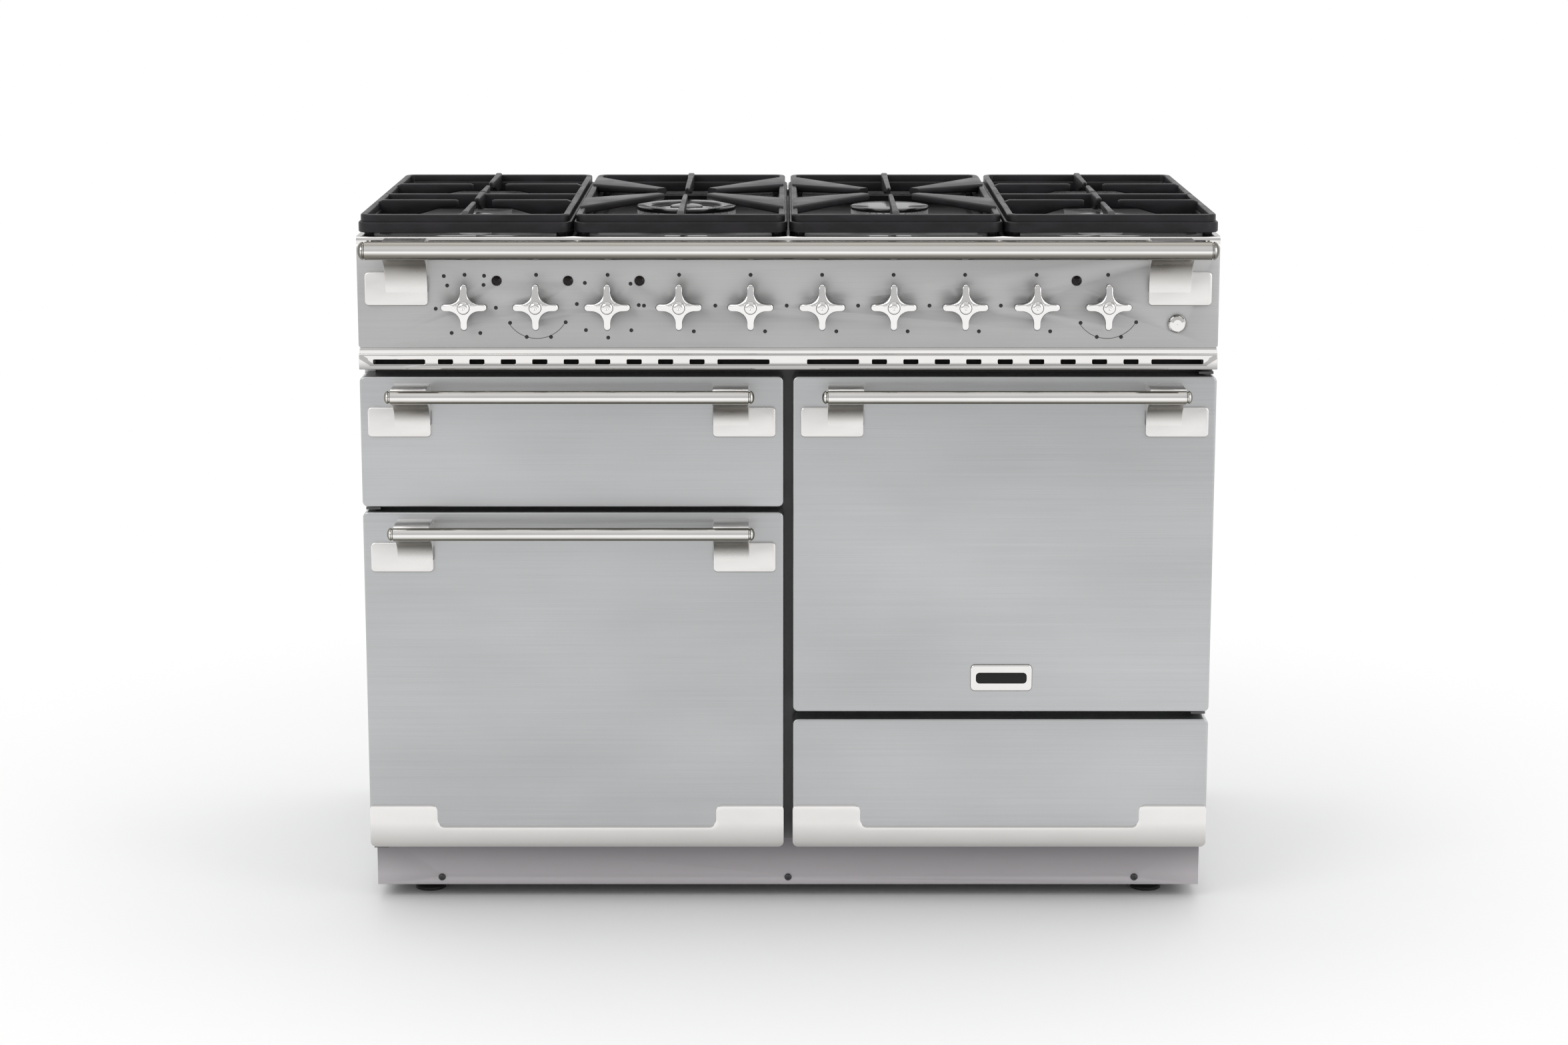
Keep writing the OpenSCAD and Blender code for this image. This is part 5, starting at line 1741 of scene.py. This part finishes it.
@dataclass
class SheetParts:
    """The folded sheet parts, whose edges are rounded on copies of their nodes."""

    edges: dict[str, float] = field(default_factory=lambda: {
        "fascia": 0.7 * MM, "vent_trim": 0.6 * MM, "rear_vent": 0.5 * MM, "plinth": 0.4 * MM,
    })
    sharp_degrees: float = 30

    def build(self, wardrobe: Wardrobe) -> None:
        """Makes each part.

        Args:
            wardrobe: The finishes.
        """
        for node, width in self.edges.items():
            source = wardrobe.frame["nodes"][node]
            mesh = source.data.copy()
            tidy_mesh(mesh, self.sharp_degrees, width)
            slot = wardrobe.slots[node]
            # The vent trim's finish paints a shade towards its foot.
            look = "vent_chrome_painted_shade" if node == "vent_trim" else slot
            thing = link_object(node + "_pressing", mesh)
            wardrobe.dress(thing, look, source["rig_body"], (node,), slot)


@dataclass
class VentFlange:
    """The vent trim's upper flange, which closes the gap below the fascia."""

    face: float
    side_gap: float = 1 * MM
    height_gap: float = 0.1 * MM
    back: float = 4 * MM
    front: float = 0.8 * MM
    corner: float = 1 * MM
    edge: float = 0.6 * MM

    def build(self, wardrobe: Wardrobe) -> None:
        """Makes the flange, from the trim's top to the fascia's foot.

        Args:
            wardrobe: The finishes.
        """
        lo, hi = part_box("vent_trim")
        low = (lo.x + self.side_gap, hi.z + self.height_gap)
        high = (hi.x - self.side_gap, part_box("fascia")[0].z - self.height_gap)
        depths = (self.face + self.back, self.face + self.front)
        flange = Shell().slab(rounded_outline(low, high, self.corner), depths, Axis.Y, self.edge)
        wardrobe.dress(flange.build("vent_flange"), "polished_chrome", "cooker")


@dataclass
class PlinthScrews:
    """The three screws of the plinth; their profile is rows of radius and height."""

    HEAD = np.array([
        [0, -3], [2.4, -3], [2.4, 0], [4.8, 0], [4.6, 1], [3.6, 2], [2.2, 2.5], [2, 1.2], [0, 1.2],
    ]) * MM

    side_inset: float = 85 * MM
    rise: float = 10 * MM

    def build(self, wardrobe: Wardrobe) -> None:
        """Makes each screw's head, a dome with a round socket.

        Args:
            wardrobe: The finishes.
        """
        lo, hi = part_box("plinth")
        shell = Shell()
        for side in (-1, 0, 1):
            centre = (side * (hi.x - self.side_inset), lo.y, lo.z + self.rise)
            shell.lathe(self.HEAD, centre, Axis.Y, segments=24)
        thing = shell.build("plinth_screws")
        wardrobe.dress(thing, "screw_black", "cooker", slot="black_nylon")


# ---------------------------------------------------------------- the cooker


class Cooker:
    """The whole cooker: reads its boxes and builds its assemblies in order."""

    FRONTS = ("grill_front", "left_door", "right_door", "drawer_front")
    TRIMMED = ("left_door", "drawer_front")
    HANDLES = {
        "grill_handle": "grill_front", "left_handle": "left_door", "right_handle": "right_door",
    }
    KNOBS = {
        "knob_grill": DialKind.GRILL, "knob_left_oven": DialKind.OVEN,
        "knob_left_function": DialKind.FUNCTION, "knob_gas_1": DialKind.GAS,
        "knob_gas_2": DialKind.GAS, "knob_gas_3": DialKind.GAS, "knob_gas_4": DialKind.GAS,
        "knob_gas_5": DialKind.GAS, "knob_gas_6": DialKind.GAS, "knob_right_oven": DialKind.OVEN,
    }
    SUPPORTS = (SupportKind.DOUBLE, SupportKind.SINGLE, SupportKind.SINGLE, SupportKind.DOUBLE)
    BURNERS = (  # the support that each lies under, its place behind the doors' face, its radius
        (0, FRONT_BURNER, 27 * MM), (0, REAR_BURNER, 37 * MM), (1, MIDDLE_BURNER, 66 * MM),
        (2, MIDDLE_BURNER, 52 * MM), (3, REAR_BURNER, 37 * MM), (3, FRONT_BURNER, 37 * MM),
    )
    WOK_COLUMN = 1
    PLATE_RISE = 45.5 * MM

    def __init__(self, frame: dict) -> None:
        """Loads the finishes and finds the planes that the pieces sit on.
        """
        self.frame = frame
        self.wardrobe = Wardrobe(frame)
        self.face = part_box("fascia")[0].y
        self.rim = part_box("hob_edge")[1]

    def front_box(self, node: str) -> tuple[Vector, Vector]:
        """The box of a front without the part of it that stands proud of its face."""
        lo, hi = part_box(node)
        return Vector((lo.x, self.face, lo.z)), hi

    def body_of(self, node: str) -> str:
        """The body that a node belongs to."""
        return self.frame["nodes"][node]["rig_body"]

    def build_fronts(self) -> None:
        """Builds the four pressed fronts, the two foot trims and the framed plate."""
        for node in self.FRONTS:
            lo, hi = self.front_box(node)
            PressedFront(node, self.body_of(node), lo, hi).build(self.wardrobe)
        for node in self.TRIMMED:
            lo, hi = self.front_box(node)
            FootTrim(self.body_of(node), lo, hi).build(node + "_trim", self.wardrobe)
        lo, hi = self.front_box("right_door")
        centre = ((lo.x + hi.x) / 2, lo.z + self.PLATE_RISE)
        BarePlate(self.body_of("right_door"), centre, self.face).build(self.wardrobe)

    def build_handles(self) -> None:
        """Builds the three door handles and the handrail."""
        maker = HandleMaker(self.face)
        for node, front in self.HANDLES.items():
            handle = maker.door_handle(node, self.body_of(node), self.front_box(front))
            handle.build(self.wardrobe)
        maker.handrail(self.rim).build(self.wardrobe)

    def build_controls(self) -> None:
        """Builds the ten knobs and the marks round them."""
        dials = []
        for node, kind in self.KNOBS.items():
            lo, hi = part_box(node)
            x, z = (lo.x + hi.x) / 2, (lo.z + hi.z) / 2
            StarKnob(node, self.body_of(node), x, z, self.face).build(self.wardrobe)
            dials.append((x, z, kind))
        DialMarks(self.face).build(dials, self.wardrobe)

    def build_hob(self) -> None:
        """Builds the pan supports, the burners and their lids."""
        columns = []
        for number, kind in enumerate(self.SUPPORTS, 1):
            node = f"pan_support_{number}"
            lo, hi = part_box(node)
            columns.append((lo.x + hi.x) / 2)
            PanSupport(node, kind, lo, hi, self.face).build(self.wardrobe)
        bodies, lids = Shell(), Shell()
        for column, back, radius in self.BURNERS:
            wok = column == self.WOK_COLUMN
            burner = Burner(columns[column], self.face + back, radius, self.rim.z, wok)
            burner.add_body(bodies)
            burner.add_lid(lids)
        body = bodies.build("burner_heads", sharp_degrees=30)
        self.wardrobe.dress(body, "burner_aluminium", "cooker", ("burner_bodies",))
        lid_slot = self.wardrobe.slots["burner_caps"]
        self.wardrobe.dress(lids.build("burner_lids"), lid_slot, "cooker", ("burner_caps",))

    def build(self) -> None:
        """Builds everything."""
        self.wardrobe.dress_nodes()
        self.build_fronts()
        self.build_handles()
        self.build_controls()
        self.build_hob()
        SheetParts().build(self.wardrobe)
        VentFlange(self.face).build(self.wardrobe)
        PlinthScrews().build(self.wardrobe)


# ---------------------------------------------------------------- studio


@dataclass
class SoftLamp:
    """A large soft lamp."""

    name: str
    place: tuple[float, float, float]
    size: tuple[float, float]
    watts: float

    def build(self, target: Vector) -> None:
        """Hangs the lamp and turns it to the target.

        Args:
            target: The point that it lights.
        """
        data = bpy.data.lights.new(self.name, "AREA")
        data.shape = "RECTANGLE"
        data.size, data.size_y = self.size
        data.energy = self.watts
        lamp = bpy.data.objects.new(self.name, data)
        bpy.context.scene.collection.objects.link(lamp)
        lamp.location = self.place
        lamp.rotation_euler = (target - Vector(self.place)).to_track_quat("-Z", "Y").to_euler()


@dataclass
class Studio:
    """A pale floor, a white surround, soft lamps and the camera."""

    target: Vector = field(default_factory=lambda: Vector((-0.0054, 0.0, 0.4660)))
    distance: float = 4.6
    elevation: float = 11.23
    lens: float = 77.33
    surround: float = 0.80
    front_side: float = 0.55
    room_span: tuple[float, float] = (-0.9, 0.1)
    floor_radius: float = 60.0
    floor_thick: float = 0.05
    floor_gap: float = 0.5 * MM
    floor_fade: tuple[float, float] = (0.75, 1.6)
    floor_colour: Colour = (0.93, 0.93, 0.93)
    lamps: tuple[SoftLamp, ...] = (
        SoftLamp("key_lamp", (-2.4, -3.2, 2.9), (2.4, 1.6), 34.0),
        SoftLamp("fill_lamp", (2.8, -2.6, 1.9), (1.6, 2.2), 20.0),
        SoftLamp("top_lamp", (0.0, 0.5, 3.2), (2.6, 1.6), 22.0),
    )

    def build_camera(self) -> None:
        """Places the camera at the photograph's viewing angle."""
        lift = math.radians(self.elevation)
        data = bpy.data.cameras.new("photo_camera")
        data.sensor_width = 36
        data.lens = self.lens
        data.clip_end = 200
        camera = bpy.data.objects.new("photo_camera", data)
        bpy.context.scene.collection.objects.link(camera)
        away = Vector((0, -math.cos(lift), math.sin(lift))) * self.distance
        camera.location = self.target + away
        camera.rotation_euler = (math.pi / 2 - lift, 0, 0)
        bpy.context.scene.camera = camera

    @staticmethod
    def seen(tree: Tree) -> tuple[Socket, Socket]:
        """Masks of the rays that see the white surround.

        Args:
            tree: The nodes of the world or of the floor.

        Returns:
            The mask of camera rays, and that of camera, glossy and transmission rays.
        """
        path = tree.add("LightPath").outputs
        camera = path["Is Camera Ray"]
        both = tree.maths("MAXIMUM", camera, path["Is Glossy Ray"])
        return camera, tree.maths("MAXIMUM", both, path["Is Transmission Ray"])

    def build_world(self) -> None:
        """Makes the surround.

        It is white to the camera. Reflections see the same white behind and beside the cooker,
        and a darker room in front of it. Matt surfaces get a plain even light.
        """
        world = bpy.data.worlds.new("surround")
        world.use_nodes = True
        bpy.context.scene.world = world
        tree = Tree(world.node_tree)
        links = world.node_tree.links
        camera, every = self.seen(tree)
        way = tree.add("SeparateXYZ", {0: tree.add("TexCoord").outputs["Generated"]})
        behind = tree.ramp(way.outputs["Y"], self.room_span)
        backdrop = tree.mix(camera, tree.mix(behind, self.front_side, 1.0), 1.0)
        level = tree.mix(every, self.surround, backdrop)
        light = tree.add("Background", {"Color": (1, 1, 1, 1), "Strength": level})
        output = tree.add("OutputWorld")
        links.new(light.outputs[0], output.inputs["Surface"])

    def build_floor(self) -> None:
        """Makes the floor: matt near the cooker, where its shadow falls, and white far off."""
        radius, low = self.floor_radius, -self.floor_thick
        profile = np.array([[0, low], [radius, low], [radius, 0], [0, 0]])
        centre = (0, 0, -self.floor_gap)
        floor = Shell().lathe(profile, centre, Axis.Z, segments=96).build("floor")
        material = bpy.data.materials.new("pale_floor")
        material.use_nodes = True
        tree = Tree(material.node_tree)
        links = material.node_tree.links
        _, every = self.seen(tree)
        where = tree.add("TexCoord").outputs["Object"]
        away = tree.add("VectorMath", {0: where}, operation="LENGTH").outputs["Value"]
        far = tree.ramp(away, self.floor_fade, interpolation_type="SMOOTHSTEP")
        mask = tree.maths("MULTIPLY", far, every)
        matt = tree.add("BsdfDiffuse", {"Color": (*self.floor_colour, 1)})
        white = tree.add("Emission", {"Color": (1, 1, 1, 1), "Strength": 1.0})
        mix = tree.add("MixShader", {0: mask, 1: matt.outputs[0], 2: white.outputs[0]})
        output = tree.add("OutputMaterial")
        links.new(mix.outputs[0], output.inputs["Surface"])
        floor.data.materials.append(material)

    def build(self) -> None:
        """Builds the studio."""
        bpy.context.scene.view_settings.view_transform = "Standard"
        self.build_camera()
        self.build_world()
        self.build_floor()
        for lamp in self.lamps:
            lamp.build(self.target)


def main() -> None:
    """Loads the frame, then builds the studio and the cooker."""
    logging.basicConfig(level=logging.INFO, format="%(message)s")
    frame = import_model()
    Studio().build()
    Cooker(frame).build()


if __name__ == "__main__":
    main()
